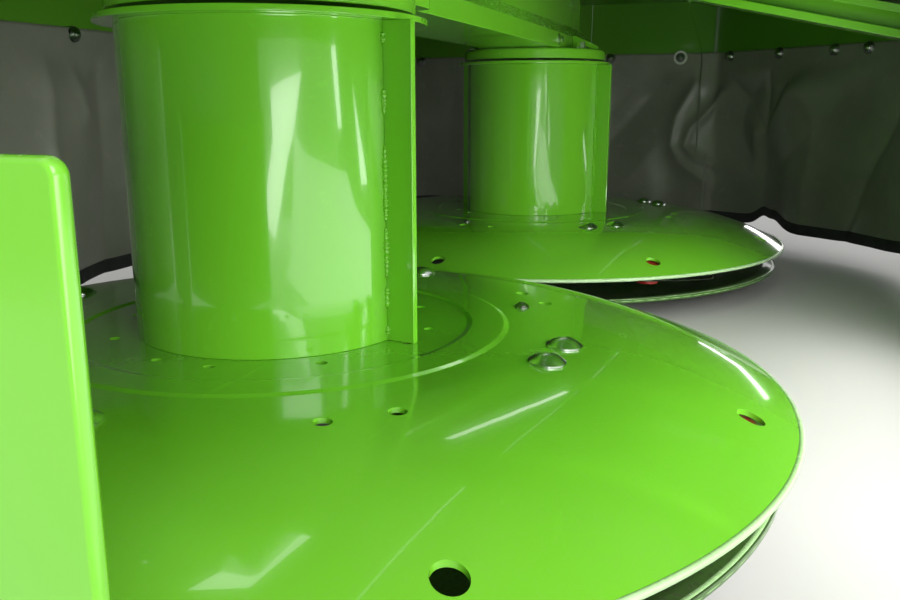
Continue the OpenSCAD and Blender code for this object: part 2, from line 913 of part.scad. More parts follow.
// Guard arms: folded channels with lips, open to the near end, that carry the covers. The
// front ones step down at the flap and follow its slope
ARM_X = [arm_near_x, arm_far_x];
arm_wall = 4;
arm_lip = 12;
arm_top = hood_top_z - hood_wall;
arm_end_y = hood_front - 60;
arm_fall = (arm_end_y - flap_hinge_y) * tan(flap_slope);
function arm_front(inset, past) =
    let (
        root = -beam_top_w / 2 + past,
        step = -flap_hinge_y + run_gap,
        end = -arm_end_y - past,
        high = arm_top - inset,
        low = arm_top - flap_rest - arm_h + inset
    )
    [
        [root, high], [step + inset, high], [step + inset, high - flap_rest],
        [step, high - flap_rest], [end, high - flap_rest - arm_fall],
        [end, low - arm_fall], [step, low], [root, low]
    ];
function arm_rear(inset, past) =
    let (
        root = beam_top_w / 2 - past,
        end = hood_rear - hood_wall + past,
        high = arm_top - inset,
        low = arm_top - arm_h + inset
    )
    [[root, high], [root, low], [end, low], [end, high]];
module arm_body(side, wide) {
    rotate([90, 0, 90])
        linear_extrude(wide)
            polygon(side);
}
module guard_arm(x, outside, inside, slot) {
    translate([x - arm_w / 2, 0, 0])
        difference() {
            arm_body(outside, arm_w);
            translate([arm_wall, 0, 0])
                arm_body(inside, arm_w - 2 * arm_wall);
            translate([-1, 0, 0])
                arm_body(slot, arm_wall + 2);
        }
}
module guard_arms_front() {
    color(GREEN)
        for (x = ARM_X)
            guard_arm(x, arm_front(0, 0), arm_front(arm_wall, 1), arm_front(arm_lip, 1));
}
module guard_arms_rear() {
    color(GREEN)
        for (x = ARM_X)
            guard_arm(x, arm_rear(0, 0), arm_rear(arm_wall, 1), arm_rear(arm_lip, 1));
}

// End plate on the near end, under the hood
plate_x = -hood_half;
module end_plate() {
    r = end_plate_r;
    wide = end_plate_front + end_plate_rear;
    high = end_plate_top - end_plate_foot;
    color(GREEN)
        translate([plate_x, (end_plate_rear - end_plate_front) / 2, end_plate_foot + high / 2])
            rotate([90, 0, 90])
                linear_extrude(end_plate_t) {
                    square([wide - 2 * r, high], center = true);
                    square([wide, high - 2 * r], center = true);
                    for (sx = [-1, 1])
                        for (sy = [-1, 1])
                            translate([sx * (wide / 2 - r), sy * (high / 2 - r)])
                                circle(r = r);
                }
}
BRACKET_Y = [-120, 220];
bracket_w = 50;
bracket_t = flap_lap;
bracket_lap = 60;
module end_plate_brackets() {
    low = end_plate_top - bracket_lap;
    color(GREEN)
        for (y = BRACKET_Y)
            translate([plate_x - bracket_t, y - bracket_w / 2, low])
                cube([bracket_t, bracket_w, skirt_z + bracket_lap - low]);
}

// Curtains: sheets inside the skirts. The rear one ends at the round corners, and the end
// one runs round the far corner. The flap's own one follows its front and far corner and
// laps behind the end curtain
hang = curtain_top - curtain_bottom;
curtain_in = hood_wall + seat_gap;
corner_x = hood_half - curtain_in - curtain_t - hood_corner_r;
corner_y = hood_rear - curtain_in - curtain_t - hood_corner_r;
module hung() {
    color(CLOTH)
        translate([0, 0, curtain_bottom])
            linear_extrude(hang)
                children();
}
module curtain_rear() {
    hung()
        translate([-corner_x, hood_rear - curtain_in - curtain_t])
            square([2 * corner_x - seat_gap, curtain_t]);
}
module curtain_end() {
    hung()
        difference() {
            intersection() {
                cover_plan(-flap_corner_y + 2, hood_rear, curtain_in);
                translate([corner_x, -hood_front])
                    square([hood_half, 2 * hood_front]);
            }
            translate([corner_x, corner_y])
                circle(r = hood_corner_r);
            translate([corner_x - 1, -hood_front])
                square([hood_corner_r + 1, hood_front + corner_y]);
        }
}
module curtain_front() {
    front = curtain_in - hood_front;
    fold = curtain_in * tan(22.5);
    lap_x = hood_half - curtain_in - curtain_t - curtain_gap;
    corner_at = flap_half - flap_corner - fold;
    line = [
        [flap_corner - flap_half + 10, front], [corner_at, front],
        [lap_x, front + lap_x - corner_at], [lap_x, 2 - flap_corner_y + curtain_lap]
    ];
    hung()
        sheet_profile(line, -curtain_t);
}

beam_housing();
beam_lid();
beam_end_plate();
drive_head();
head_lid();
carrier_lugs();
bevel_gearbox();
input_shaft();
belt_pulley();
collar(NEAR, head_w);  // collar_near
collar(FAR, beam_w);  // collar_far
axle(NEAR);  // axle_near
axle(FAR);  // axle_far
drum_shell(NEAR);  // drum_near
drum_shell(FAR);  // drum_far
fins(NEAR);  // fins_near
fins(FAR);  // fins_far
disc(NEAR);  // disc_near
disc(FAR);  // disc_far
knife_bars(NEAR);  // knife_bars_near
knife_bars(FAR);  // knife_bars_far
for (i = [0 : KNIVES - 1]) {
    knife(NEAR, i);
    knife(FAR, i);
}
dish(NEAR);  // dish_near
dish(FAR);  // dish_far
dish_hub(NEAR);  // dish_hub_near
dish_hub(FAR);  // dish_hub_far
hood_rear_cover();
hood_front_cover();
front_flap();
flap_hinge_fixed();
flap_hinge_leaves();
guard_arms_front();
guard_arms_rear();
end_plate();
end_plate_brackets();
curtain_rear();
curtain_end();
curtain_front();
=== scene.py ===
"""Looks of a two-drum mowing unit: enamel paint, coated curtains, bolts, welds, hems and light.

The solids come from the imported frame, in metres: X runs along the beam, +Y is the rear and
Z = 0 is the ground. Each class of a sub-assembly dresses it and builds what the solids lack.
Near and far are as seen from the camera, which looks along the beam from the drive's end.
"""

import logging
import math
from dataclasses import dataclass, replace
from enum import Enum
from functools import cache
from typing import Sequence

import bpy
import numpy as np
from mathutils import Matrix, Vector

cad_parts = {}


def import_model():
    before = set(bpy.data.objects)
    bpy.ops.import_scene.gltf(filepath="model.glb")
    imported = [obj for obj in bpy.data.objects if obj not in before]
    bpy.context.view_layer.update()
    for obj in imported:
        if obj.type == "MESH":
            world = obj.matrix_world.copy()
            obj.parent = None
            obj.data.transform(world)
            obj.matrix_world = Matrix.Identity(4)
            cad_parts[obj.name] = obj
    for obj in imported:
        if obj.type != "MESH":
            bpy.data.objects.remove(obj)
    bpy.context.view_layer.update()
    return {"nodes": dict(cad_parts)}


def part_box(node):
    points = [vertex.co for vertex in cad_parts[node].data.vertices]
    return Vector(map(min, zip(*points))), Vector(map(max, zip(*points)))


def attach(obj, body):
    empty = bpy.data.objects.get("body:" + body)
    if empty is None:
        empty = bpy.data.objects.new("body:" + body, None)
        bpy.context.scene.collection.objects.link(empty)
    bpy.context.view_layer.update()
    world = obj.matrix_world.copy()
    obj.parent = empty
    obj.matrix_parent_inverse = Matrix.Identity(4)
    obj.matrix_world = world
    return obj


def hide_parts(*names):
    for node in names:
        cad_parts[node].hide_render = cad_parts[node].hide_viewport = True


LOG = logging.getLogger("mowing_unit")
CUT_MAP = "cut"
TAU = 2.0 * math.pi
Point = tuple[float, float, float]
Spot = tuple[float, float]
UP = (0.0, 0.0, 1.0)
DOWN = (0.0, 0.0, -1.0)
REAR = (0.0, 1.0, 0.0)
FRONT = (0.0, -1.0, 0.0)
NEAR_END = (-1.0, 0.0, 0.0)
FAR_END = (1.0, 0.0, 0.0)


class Body(Enum):
    """The moving bodies that pieces ride on."""

    FRAME = "frame"
    DRUM_NEAR = "drum_near"
    DRUM_FAR = "drum_far"
    DISH_NEAR = "dish_near"
    DISH_FAR = "dish_far"
    FLAP = "flap"
    INPUT = "input"


class Slot(Enum):
    """The record's material slots of the pieces that are added here."""

    GREEN = "green_paint"
    STEEL = "bare_steel"
    CLOTH = "coated_cloth"


@dataclass(frozen=True)
class Colour:
    """A linear RGB colour."""

    red: float
    green: float
    blue: float

    def rgba(self, gain: float = 1.0) -> tuple[float, float, float, float]:
        """The colour times a gain, with full alpha."""
        return (self.red * gain, self.green * gain, self.blue * gain, 1.0)


class Graph:
    """A node tree with short calls for adding and linking nodes."""

    def __init__(self, tree: bpy.types.NodeTree) -> None:
        """Wraps the node tree that nodes are added to."""
        self.tree = tree
        self.output: bpy.types.Node | None = None

    def add(self, kind: str, values: dict[int | str, object] | None = None,
            **settings: object) -> bpy.types.Node:
        """Adds a node.

        Args:
            kind: the node's type name.
            values: input name or place to a value or to an output socket.
            settings: properties of the node.

        Returns:
            The new node.
        """
        node = self.tree.nodes.new(kind)
        for name, value in settings.items():
            setattr(node, name, value)
        for name, value in (values or {}).items():
            self.feed(node.inputs[name], value)
        return node

    def feed(self, socket: bpy.types.NodeSocket, value: object) -> None:
        """Gives an input its value.

        Args:
            socket: the input.
            value: an output to link it to, or a value of its own.
        """
        if isinstance(value, bpy.types.NodeSocket):
            self.tree.links.new(value, socket)
        else:
            socket.default_value = value

    def math(self, operation: str, a: object, b: object = 0.0,
             clamp: bool = False) -> bpy.types.NodeSocket:
        """Adds a Math node and returns its output."""
        node = self.add("ShaderNodeMath", {0: a, 1: b}, operation=operation, use_clamp=clamp)
        return node.outputs[0]

    def remap(self, value: object, low: float, high: float, to_low: float = 0.0,
              to_high: float = 1.0) -> bpy.types.NodeSocket:
        """Maps a value from one range to another with a smooth step.

        Args:
            value: the value.
            low: the start of its range.
            high: the end of its range.
            to_low: what the start becomes.
            to_high: what the end becomes.

        Returns:
            The mapped value.
        """
        node = self.add("ShaderNodeMapRange", {0: value, 1: low, 2: high, 3: to_low, 4: to_high},
                        interpolation_type="SMOOTHSTEP")
        return node.outputs[0]

    def bump(self, height: object, strength: float = 1.0) -> bpy.types.NodeSocket:
        """Turns a height in metres into a normal and returns it."""
        node = self.add("ShaderNodeBump", {"Height": height, "Strength": strength, "Distance": 1.0})
        return node.outputs[0]

    def mix(self, factor: object, a: object, b: object) -> bpy.types.NodeSocket:
        """Mixes two colours.

        Args:
            factor: how much of the second one shows.
            a: the first colour.
            b: the second colour.

        Returns:
            The mixed colour.
        """
        node = self.add("ShaderNodeMix", data_type="RGBA")
        self.feed(node.inputs[0], factor)
        self.feed(node.inputs[6], a)
        self.feed(node.inputs[7], b)
        return node.outputs[2]

    def noise(self, place: object, scale: object, detail: float,
              roughness: float = 0.5) -> bpy.types.NodeSocket:
        """Adds a noise texture.

        Args:
            place: the point that it is read at.
            scale: how fine it is.
            detail: the number of finer layers.
            roughness: how strong the finer layers are.

        Returns:
            Its value.
        """
        node = self.add("ShaderNodeTexNoise", {
            "Vector": place, "Scale": scale, "Detail": detail, "Roughness": roughness,
        })
        return node.outputs[0]


class Groups:
    """The shader node groups that several materials share, each built once.

    Each pair below is a range of a value over which a mask rises from 0 to 1.
    """

    tone_range: Spot = (0.3, 0.7)
    level_range: Spot = (0.25, 0.95)
    patch_range: Spot = (0.42, 0.72)
    speck_range: Spot = (0.52, 0.68)
    line_range: Spot = (0.62, 0.70)
    rubbed_range: Spot = (0.48, 0.66)

    @staticmethod
    def _new(name: str, inputs: dict[str, object],
             outputs: Sequence[str]) -> tuple[Graph, bpy.types.Node, bpy.types.Node]:
        """Makes an empty group.

        Args:
            name: the group's name.
            inputs: each input's name and value, a number or a vector.
            outputs: the names of the outputs, which are numbers.

        Returns:
            The group's graph, its input node and its output node.
        """
        tree = bpy.data.node_groups.new(name, "ShaderNodeTree")
        for label, value in inputs.items():
            kind = "NodeSocketVector" if isinstance(value, tuple) else "NodeSocketFloat"
            socket = tree.interface.new_socket(label, in_out="INPUT", socket_type=kind)
            socket.default_value = value
        for label in outputs:
            tree.interface.new_socket(label, in_out="OUTPUT", socket_type="NodeSocketFloat")
        graph = Graph(tree)
        return graph, graph.add("NodeGroupInput"), graph.add("NodeGroupOutput")

    @classmethod
    @cache
    def film(cls) -> bpy.types.NodeTree:
        """Sprayed film: orange peel, sheet waviness and a slow change of tone.

        Returns:
            A group whose Height is in metres and whose Tone runs from 0 to 1.
        """
        graph, given, out = cls._new("film", {
            "Peel Scale": 380.0, "Peel Height": 0.00002, "Wave Scale": 7.0, "Wave Height": 0.0006,
            "Tone Scale": 2.5,
        }, ("Height", "Tone"))
        place = graph.add("ShaderNodeTexCoord").outputs["Object"]
        peel = graph.noise(place, given.outputs["Peel Scale"], 1.0)
        wave = graph.noise(place, given.outputs["Wave Scale"], 1.5)
        tone = graph.noise(place, given.outputs["Tone Scale"], 3.0)
        fine = graph.math("MULTIPLY", peel, given.outputs["Peel Height"])
        wide = graph.math("MULTIPLY", wave, given.outputs["Wave Height"])
        graph.feed(out.inputs["Height"], graph.math("ADD", fine, wide))
        graph.feed(out.inputs["Tone"], graph.remap(tone, *cls.tone_range))
        return graph.tree

    @classmethod
    @cache
    def dust(cls) -> bpy.types.NodeTree:
        """Dust and dried splashes that lie on faces that look up, more in broken patches. With a dark
        colour, as on the dishes and knife bars, the mask also paints shade.

        Returns:
            A group whose Mask runs from 0, clean, to 1, covered.
        """
        graph, given, out = cls._new(
            "dust", {"Amount": 0.3, "Patch Scale": 6.0, "Speck Scale": 260.0}, ("Mask",))
        where = graph.add("ShaderNodeTexCoord")
        place = where.outputs["Object"]
        up = graph.add("ShaderNodeSeparateXYZ", {0: where.outputs["Normal"]}).outputs[2]
        lying = graph.remap(up, *cls.level_range)
        patch = graph.remap(graph.noise(place, given.outputs["Patch Scale"], 5.0), *cls.patch_range)
        speck = graph.remap(graph.noise(place, given.outputs["Speck Scale"], 2.0), *cls.speck_range)
        broken = graph.math("MULTIPLY", patch, 0.7)
        grains = graph.math("MULTIPLY", speck, 0.5)
        film = graph.math("MULTIPLY", lying, graph.math("ADD", broken, grains))
        mask = graph.math("MULTIPLY", film, given.outputs["Amount"], clamp=True)
        graph.feed(out.inputs["Mask"], mask)
        return graph.tree

    @classmethod
    @cache
    def scratches(cls) -> bpy.types.NodeTree:
        """Fine scratches and rubbed streaks in one direction.

        Returns:
            A group whose Mask is 1 in a scratch.
        """
        graph, given, out = cls._new(
            "scratches", {"Stretch": (3.0, 90.0, 90.0), "Amount": 0.3}, ("Mask",))
        where = graph.add("ShaderNodeTexCoord").outputs["Object"]
        bent = graph.add("ShaderNodeVectorMath", {0: where, 1: given.outputs["Stretch"]},
                         operation="MULTIPLY").outputs[0]
        line = graph.remap(graph.noise(bent, 1.0, 4.0, 0.65), *cls.line_range)
        here = graph.remap(graph.noise(where, 9.0, 3.0), *cls.rubbed_range)
        worn = graph.math("MULTIPLY", line, here)
        mask = graph.math("MULTIPLY", worn, given.outputs["Amount"], clamp=True)
        graph.feed(out.inputs["Mask"], mask)
        return graph.tree

    @classmethod
    @cache
    def weave(cls) -> bpy.types.NodeTree:
        """Plain weave that shows through a coating, on the piece's UV map in metres.

        Returns:
            A group whose Height is in metres. Threads is their number to the metre.
        """
        graph, given, out = cls._new("weave", {"Threads": 900.0, "Depth": 0.00008}, ("Height",))
        where = graph.add("ShaderNodeUVMap", uv_map=CUT_MAP).outputs[0]
        parts = graph.add("ShaderNodeSeparateXYZ", {0: where})
        turn = graph.math("MULTIPLY", given.outputs["Threads"], TAU)
        warp = graph.math("SINE", graph.math("MULTIPLY", parts.outputs[0], turn))
        weft = graph.math("SINE", graph.math("MULTIPLY", parts.outputs[1], turn))
        cross = graph.math("MULTIPLY", warp, weft)
        graph.feed(out.inputs["Height"], graph.math("MULTIPLY", cross, given.outputs["Depth"]))
        return graph.tree


def new_material(name: str) -> tuple[bpy.types.Material, Graph, bpy.types.Node]:
    """Makes a material with one Principled shader.

    Args:
        name: the material's name.

    Returns:
        The material, its graph and its Principled node.
    """
    material = bpy.data.materials.new(name)
    material.use_nodes = True
    tree = material.node_tree
    tree.nodes.clear()
    graph = Graph(tree)
    shader = graph.add("ShaderNodeBsdfPrincipled")
    graph.output = graph.add("ShaderNodeOutputMaterial", {0: shader.outputs[0]})
    return material, graph, shader


def place_group(graph: Graph, tree: bpy.types.NodeTree,
                values: dict[str, object] | None = None) -> bpy.types.Node:
    """Adds a group node.

    Args:
        graph: the graph that it goes into.
        tree: the group.
        values: the inputs that don't keep the group's own value, by name.

    Returns:
        The group node.
    """
    node = graph.add("ShaderNodeGroup", node_tree=tree)
    for name, value in (values or {}).items():
        graph.feed(node.inputs[name], value)
    return node


@dataclass(frozen=True)
class Enamel:
    """Glossy sprayed enamel over sheet steel, with dust and fine scratches."""

    name: str
    colour: Colour
    shade: Colour
    dust_and_shade_colour: Colour = Colour(0.42, 0.40, 0.33)
    roughness: float = 0.22
    dust: float = 0.25
    dust_roughness: float = 0.5
    scratch: float = 0.35
    scratch_roughness: float = 0.25
    scratch_gain: float = 1.35
    wave_height: float = 0.0006
    coat: float = 0.35
    coat_roughness: float = 0.06

    def material(self) -> bpy.types.Material:
        """Builds the finish.

        Returns:
            Its material.
        """
        material, graph, shader = new_material(self.name)
        film = place_group(graph, Groups.film(), {"Wave Height": self.wave_height})
        dust = place_group(graph, Groups.dust(), {"Amount": self.dust}).outputs["Mask"]
        worn = place_group(graph, Groups.scratches(), {"Amount": self.scratch}).outputs["Mask"]
        tone = graph.mix(film.outputs["Tone"], self.shade.rgba(), self.colour.rgba())
        rubbed = graph.mix(worn, tone, self.colour.rgba(self.scratch_gain))
        # The dust colour is real dust, and on the dishes and knife bars it is also painted shade.
        graph.feed(shader.inputs["Base Color"], graph.mix(dust, rubbed, self.dust_and_shade_colour.rgba()))
        matt = graph.math("MULTIPLY", dust, self.dust_roughness)
        dull = graph.math("MULTIPLY", worn, self.scratch_roughness)
        rough = graph.math("ADD", graph.math("ADD", matt, dull), self.roughness, clamp=True)
        graph.feed(shader.inputs["Roughness"], rough)
        graph.feed(shader.inputs["Normal"], graph.bump(film.outputs["Height"]))
        shader.inputs["Coat Weight"].default_value = self.coat
        shader.inputs["Coat Roughness"].default_value = self.coat_roughness
        return material


@dataclass(frozen=True)
class Metal:
    """Bare or plated metal with a brushed grain and a slow change of tone."""

    name: str
    colour: Colour
    stain: Colour
    roughness: float = 0.34
    roughness_spread: float = 0.18
    grain: Point = (600.0, 600.0, 40.0)
    grain_height: float = 0.00002
    cloud_range: Spot = (0.4, 0.72)
    metallic: float = 1.0

    def material(self) -> bpy.types.Material:
        """Builds the finish.

        Returns:
            Its material.
        """
        material, graph, shader = new_material(self.name)
        where = graph.add("ShaderNodeTexCoord").outputs["Object"]
        bent = graph.add("ShaderNodeVectorMath", {0: where, 1: self.grain},
                         operation="MULTIPLY").outputs[0]
        lines = graph.noise(bent, 1.0, 3.0, 0.6)
        cloud = graph.remap(graph.noise(where, 24.0, 4.0), *self.cloud_range)
        tone = graph.mix(cloud, self.colour.rgba(), self.stain.rgba())
        graph.feed(shader.inputs["Base Color"], tone)
        spread = graph.math("MULTIPLY", lines, self.roughness_spread)
        rough = graph.math("ADD", spread, self.roughness, clamp=True)
        graph.feed(shader.inputs["Roughness"], rough)
        height = graph.math("MULTIPLY", lines, self.grain_height)
        graph.feed(shader.inputs["Normal"], graph.bump(height))
        shader.inputs["Metallic"].default_value = self.metallic
        return material


@dataclass(frozen=True)
class CoatedCloth:
    """Grey woven cloth under a smooth coating that catches the light."""

    name: str
    colour: Colour
    pale: Colour
    roughness: float = 0.36
    roughness_spread: float = 0.18
    cloud_range: Spot = (0.35, 0.7)
    scuff_range: Spot = (0.56, 0.72)
    scuff_share: float = 0.4
    pucker: float = 0.0006
    relief: float = 0.8
    coat: float = 0.8
    coat_roughness: float = 0.22

    def material(self) -> bpy.types.Material:
        """Builds the finish.

        Returns:
            Its material.
        """
        material, graph, shader = new_material(self.name)
        where = graph.add("ShaderNodeTexCoord").outputs["Object"]
        cloud = graph.remap(graph.noise(where, 5.0, 5.0, 0.6), *self.cloud_range)
        scuff = graph.remap(graph.noise(where, 46.0, 4.0, 0.7), *self.scuff_range)
        both = graph.math("ADD", graph.math("MULTIPLY", cloud, 1.0 - self.scuff_share),
                          graph.math("MULTIPLY", scuff, self.scuff_share))
        tone = graph.mix(both, self.colour.rgba(), self.pale.rgba())
        graph.feed(shader.inputs["Base Color"], tone)
        spread = graph.math("MULTIPLY", both, self.roughness_spread)
        graph.feed(shader.inputs["Roughness"], graph.math("ADD", spread, self.roughness))
        weave = place_group(graph, Groups.weave())
        pucker = graph.math("MULTIPLY", graph.noise(where, 60.0, 3.0), self.pucker)
        height = graph.math("ADD", weave.outputs["Height"], pucker)
        graph.feed(shader.inputs["Normal"], graph.bump(height, self.relief))
        shader.inputs["Coat Weight"].default_value = self.coat
        shader.inputs["Coat Roughness"].default_value = self.coat_roughness
        return material


@dataclass(frozen=True)
class Binding:
    """Black binding tape with a coarse weave."""

    name: str
    colour: Colour = Colour(0.012, 0.012, 0.013)
    worn_gain: float = 2.6
    threads: float = 500.0
    thread_depth: float = 0.0002
    roughness: Spot = (0.55, 0.8)

    def material(self) -> bpy.types.Material:
        """Builds the finish.

        Returns:
            Its material.
        """
        material, graph, shader = new_material(self.name)
        where = graph.add("ShaderNodeTexCoord").outputs["Object"]
        cloud = graph.noise(where, 30.0, 4.0)
        tone = graph.mix(cloud, self.colour.rgba(), self.colour.rgba(self.worn_gain))
        graph.feed(shader.inputs["Base Color"], tone)
        weave = place_group(graph, Groups.weave(),
                            {"Threads": self.threads, "Depth": self.thread_depth})
        graph.feed(shader.inputs["Normal"], graph.bump(weave.outputs["Height"]))
        rough = graph.remap(cloud, *Groups.tone_range, *self.roughness)
        graph.feed(shader.inputs["Roughness"], rough)
        return material


class Paintshop:
    """Every finish, made once."""

    def __init__(self) -> None:
        """Builds the materials."""
        lime = Colour(0.150, 0.470, 0.022)
        lime_shade = Colour(0.125, 0.420, 0.018)
        self.paint = Enamel("lime_enamel", lime, lime_shade).material()
        self.rotor_paint = Enamel(
            "rotor_enamel", lime, lime_shade,
            roughness=0.14, dust=0.04, scratch=0.2, wave_height=0.0004,
            coat=0.8, coat_roughness=0.03,
        ).material()
        # Painted shade, partly dirt: the dishes get a dark green and heavy dark dust for the shade
        # they lie in under the discs.
        self.dish_shaded_paint = Enamel(
            "dish_shaded_enamel", Colour(0.050, 0.150, 0.012), Colour(0.030, 0.085, 0.010),
            dust_and_shade_colour=Colour(0.045, 0.045, 0.03), roughness=0.35, dust=0.7,
        ).material()
        # Painted shade: the hood, flap and hinges get a darker green than the lime of the rest, for
        # the shade inside the hood.
        self.hood_shaded_paint = Enamel(
            "hood_shaded_enamel", Colour(0.085, 0.27, 0.016), Colour(0.07, 0.235, 0.013),
            roughness=0.3, dust=0.1,
        ).material()
        # The knife bars' dark dust is dirt and also painted shade under the disc.
        self.red = Enamel(
            "red_enamel", Colour(0.36, 0.020, 0.012), Colour(0.20, 0.014, 0.010),
            dust_and_shade_colour=Colour(0.045, 0.04, 0.03), roughness=0.4, dust=0.3, scratch=0.5,
        ).material()
        # Painted highlight: a pale green for the rolled dish rims and the disc edges, where the paint
        # catches the light.
        self.rim_highlight_paint = Enamel(
            "rim_highlight_enamel", Colour(0.46, 0.66, 0.36), Colour(0.30, 0.52, 0.20),
            roughness=0.25, dust=0.1, scratch=0.5, wave_height=0.0002,
        ).material()
        self.pale_paint = Enamel(
            "pale_enamel", Colour(0.72, 0.75, 0.66), Colour(0.60, 0.64, 0.55),
            roughness=0.3, dust=0.1, scratch=0.2, wave_height=0.0001,
        ).material()
        self.zinc = Metal(
            "bright_zinc", Colour(0.80, 0.81, 0.82), Colour(0.56, 0.57, 0.57), roughness=0.14,
        ).material()
        self.dull_zinc = Metal(
            "dull_zinc", Colour(0.42, 0.43, 0.43), Colour(0.24, 0.24, 0.23), roughness=0.20,
        ).material()
        self.steel = Metal(
            "bare_steel", Colour(0.42, 0.42, 0.41), Colour(0.24, 0.22, 0.19), roughness=0.36,
        ).material()
        self.iron = Metal(
            "cast_iron", Colour(0.16, 0.16, 0.17), Colour(0.10, 0.09, 0.085),
            roughness=0.5, grain=(300.0, 300.0, 300.0),
        ).material()
        self.black = Metal(
            "black_oxide", Colour(0.03, 0.03, 0.032), Colour(0.05, 0.045, 0.04),
            roughness=0.4, metallic=0.7,
        ).material()
        self.cloth = CoatedCloth(
            "coated_cloth", Colour(0.19, 0.20, 0.155), Colour(0.27, 0.275, 0.225),
        ).material()
        self.binding = Binding("black_binding").material()


def dress(obj: bpy.types.Object, material: bpy.types.Material) -> None:
    """Gives an object one material in all its slots."""
    obj.data.materials.clear()
    obj.data.materials.append(material)


@dataclass(frozen=True)
class Shape:
    """A mesh as arrays: points, quads and triangles."""

    points: np.ndarray
    quads: np.ndarray
    tris: np.ndarray

    def placed(self, at: Sequence[float], axis: Sequence[float] = UP,
               turn: float = 0.0) -> "Shape":
        """Turns the shape about its Z, in radians, lays that Z along an axis and moves it."""
        moved = self.points @ basis(axis, turn) + np.asarray(at, dtype=float)
        return Shape(moved, self.quads, self.tris)

    @staticmethod
    def joined(shapes: Sequence["Shape"]) -> "Shape":
        """Puts several shapes into one.

        Args:
            shapes: the shapes.

        Returns:
            One shape that holds them all.
        """
        counts = [len(shape.points) for shape in shapes]
        starts = np.cumsum([0] + counts[:-1])
        return Shape(
            np.concatenate([shape.points for shape in shapes]),
            np.concatenate([shape.quads + start for shape, start in zip(shapes, starts)]),
            np.concatenate([shape.tris + start for shape, start in zip(shapes, starts)]),
        )


def basis(axis: Sequence[float], turn: float) -> np.ndarray:
    """The three unit directions of a frame whose Z is an axis, turned about it.

    Before the turn, X is the cross product of the world's Z and the axis, so it is level, and Y
    is the cross product of the axis and X. For an upright axis the world's Y takes Z's place.

    Args:
        axis: the direction of Z.
        turn: the turn about it in radians.

    Returns:
        A 3 by 3 array whose rows are the X, Y and Z directions.
    """
    up = np.asarray(axis, dtype=float)
    up = up / np.linalg.norm(up)
    upright = abs(up[2]) > 0.9
    side = np.cross(REAR if upright else UP, up)
    side = side / np.linalg.norm(side)
    ahead = np.cross(up, side)
    cos, sin = math.cos(turn), math.sin(turn)
    return np.stack([cos * side + sin * ahead, cos * ahead - sin * side, up])


def carried(rings: np.ndarray, loop: bool = False) -> Shape:
    """Joins rings of points into a skin, and closes its two ends with fans.

    Point j of ring i meets point j + 1 of ring i and point j of ring i + 1 in one quad.

    Args:
        rings: an array of rings by points by 3.
        loop: the last ring joins the first one, and there are no ends.

    Returns:
        The closed shape.
    """
    count, steps = rings.shape[:2]
    first = np.arange(count if loop else count - 1)
    around = np.arange(steps)
    after = (around + 1) % steps
    here = first[:, None] * steps + around[None, :]
    right = first[:, None] * steps + after[None, :]
    above = (here + steps) % (count * steps)
    across = (right + steps) % (count * steps)
    quads = np.stack([here, right, across, above], axis=-1).reshape(-1, 4)
    points = rings.reshape(-1, 3)
    if loop:
        return Shape(points, quads, np.zeros((0, 3), dtype=int))
    top = (count - 1) * steps
    ends = np.array([rings[0].mean(axis=0), rings[-1].mean(axis=0)])
    low = np.stack([after, around, np.full(steps, count * steps)], axis=-1)
    high = np.stack([top + around, top + after, np.full(steps, count * steps + 1)], axis=-1)
    return Shape(np.concatenate([points, ends]), quads, np.concatenate([low, high]))


def revolved(profile: Sequence[Spot] | np.ndarray, steps: int, loop: bool = False) -> Shape:
    """Turns a profile of (radius, height) points about Z, from its foot outside to its top.

    Each point goes to radius times (cos, sin) of the step's angle, at its height.

    Args:
        profile: the points of the profile.
        steps: the number of steps round the axis.
        loop: the profile is closed, as for a washer.

    Returns:
        The closed shape.
    """
    line = np.asarray(profile, dtype=float)
    angle = np.arange(steps) * TAU / steps
    rings = np.stack([
        line[:, 0, None] * np.cos(angle), line[:, 0, None] * np.sin(angle),
        np.repeat(line[:, 1, None], steps, axis=1),
    ], axis=-1)
    return carried(rings, loop)


def grid(points: np.ndarray) -> Shape:
    """Joins a grid of points into an open sheet, with one quad for each four neighbours.

    Args:
        points: an array of rows by columns by 3.

    Returns:
        The sheet.
    """
    rows, columns = points.shape[:2]
    here = np.arange((rows - 1) * columns).reshape(rows - 1, columns)[:, :-1]
    quads = np.stack([here, here + 1, here + columns + 1, here + columns], axis=-1)
    return Shape(points.reshape(-1, 3), quads.reshape(-1, 4), np.zeros((0, 3), dtype=int))


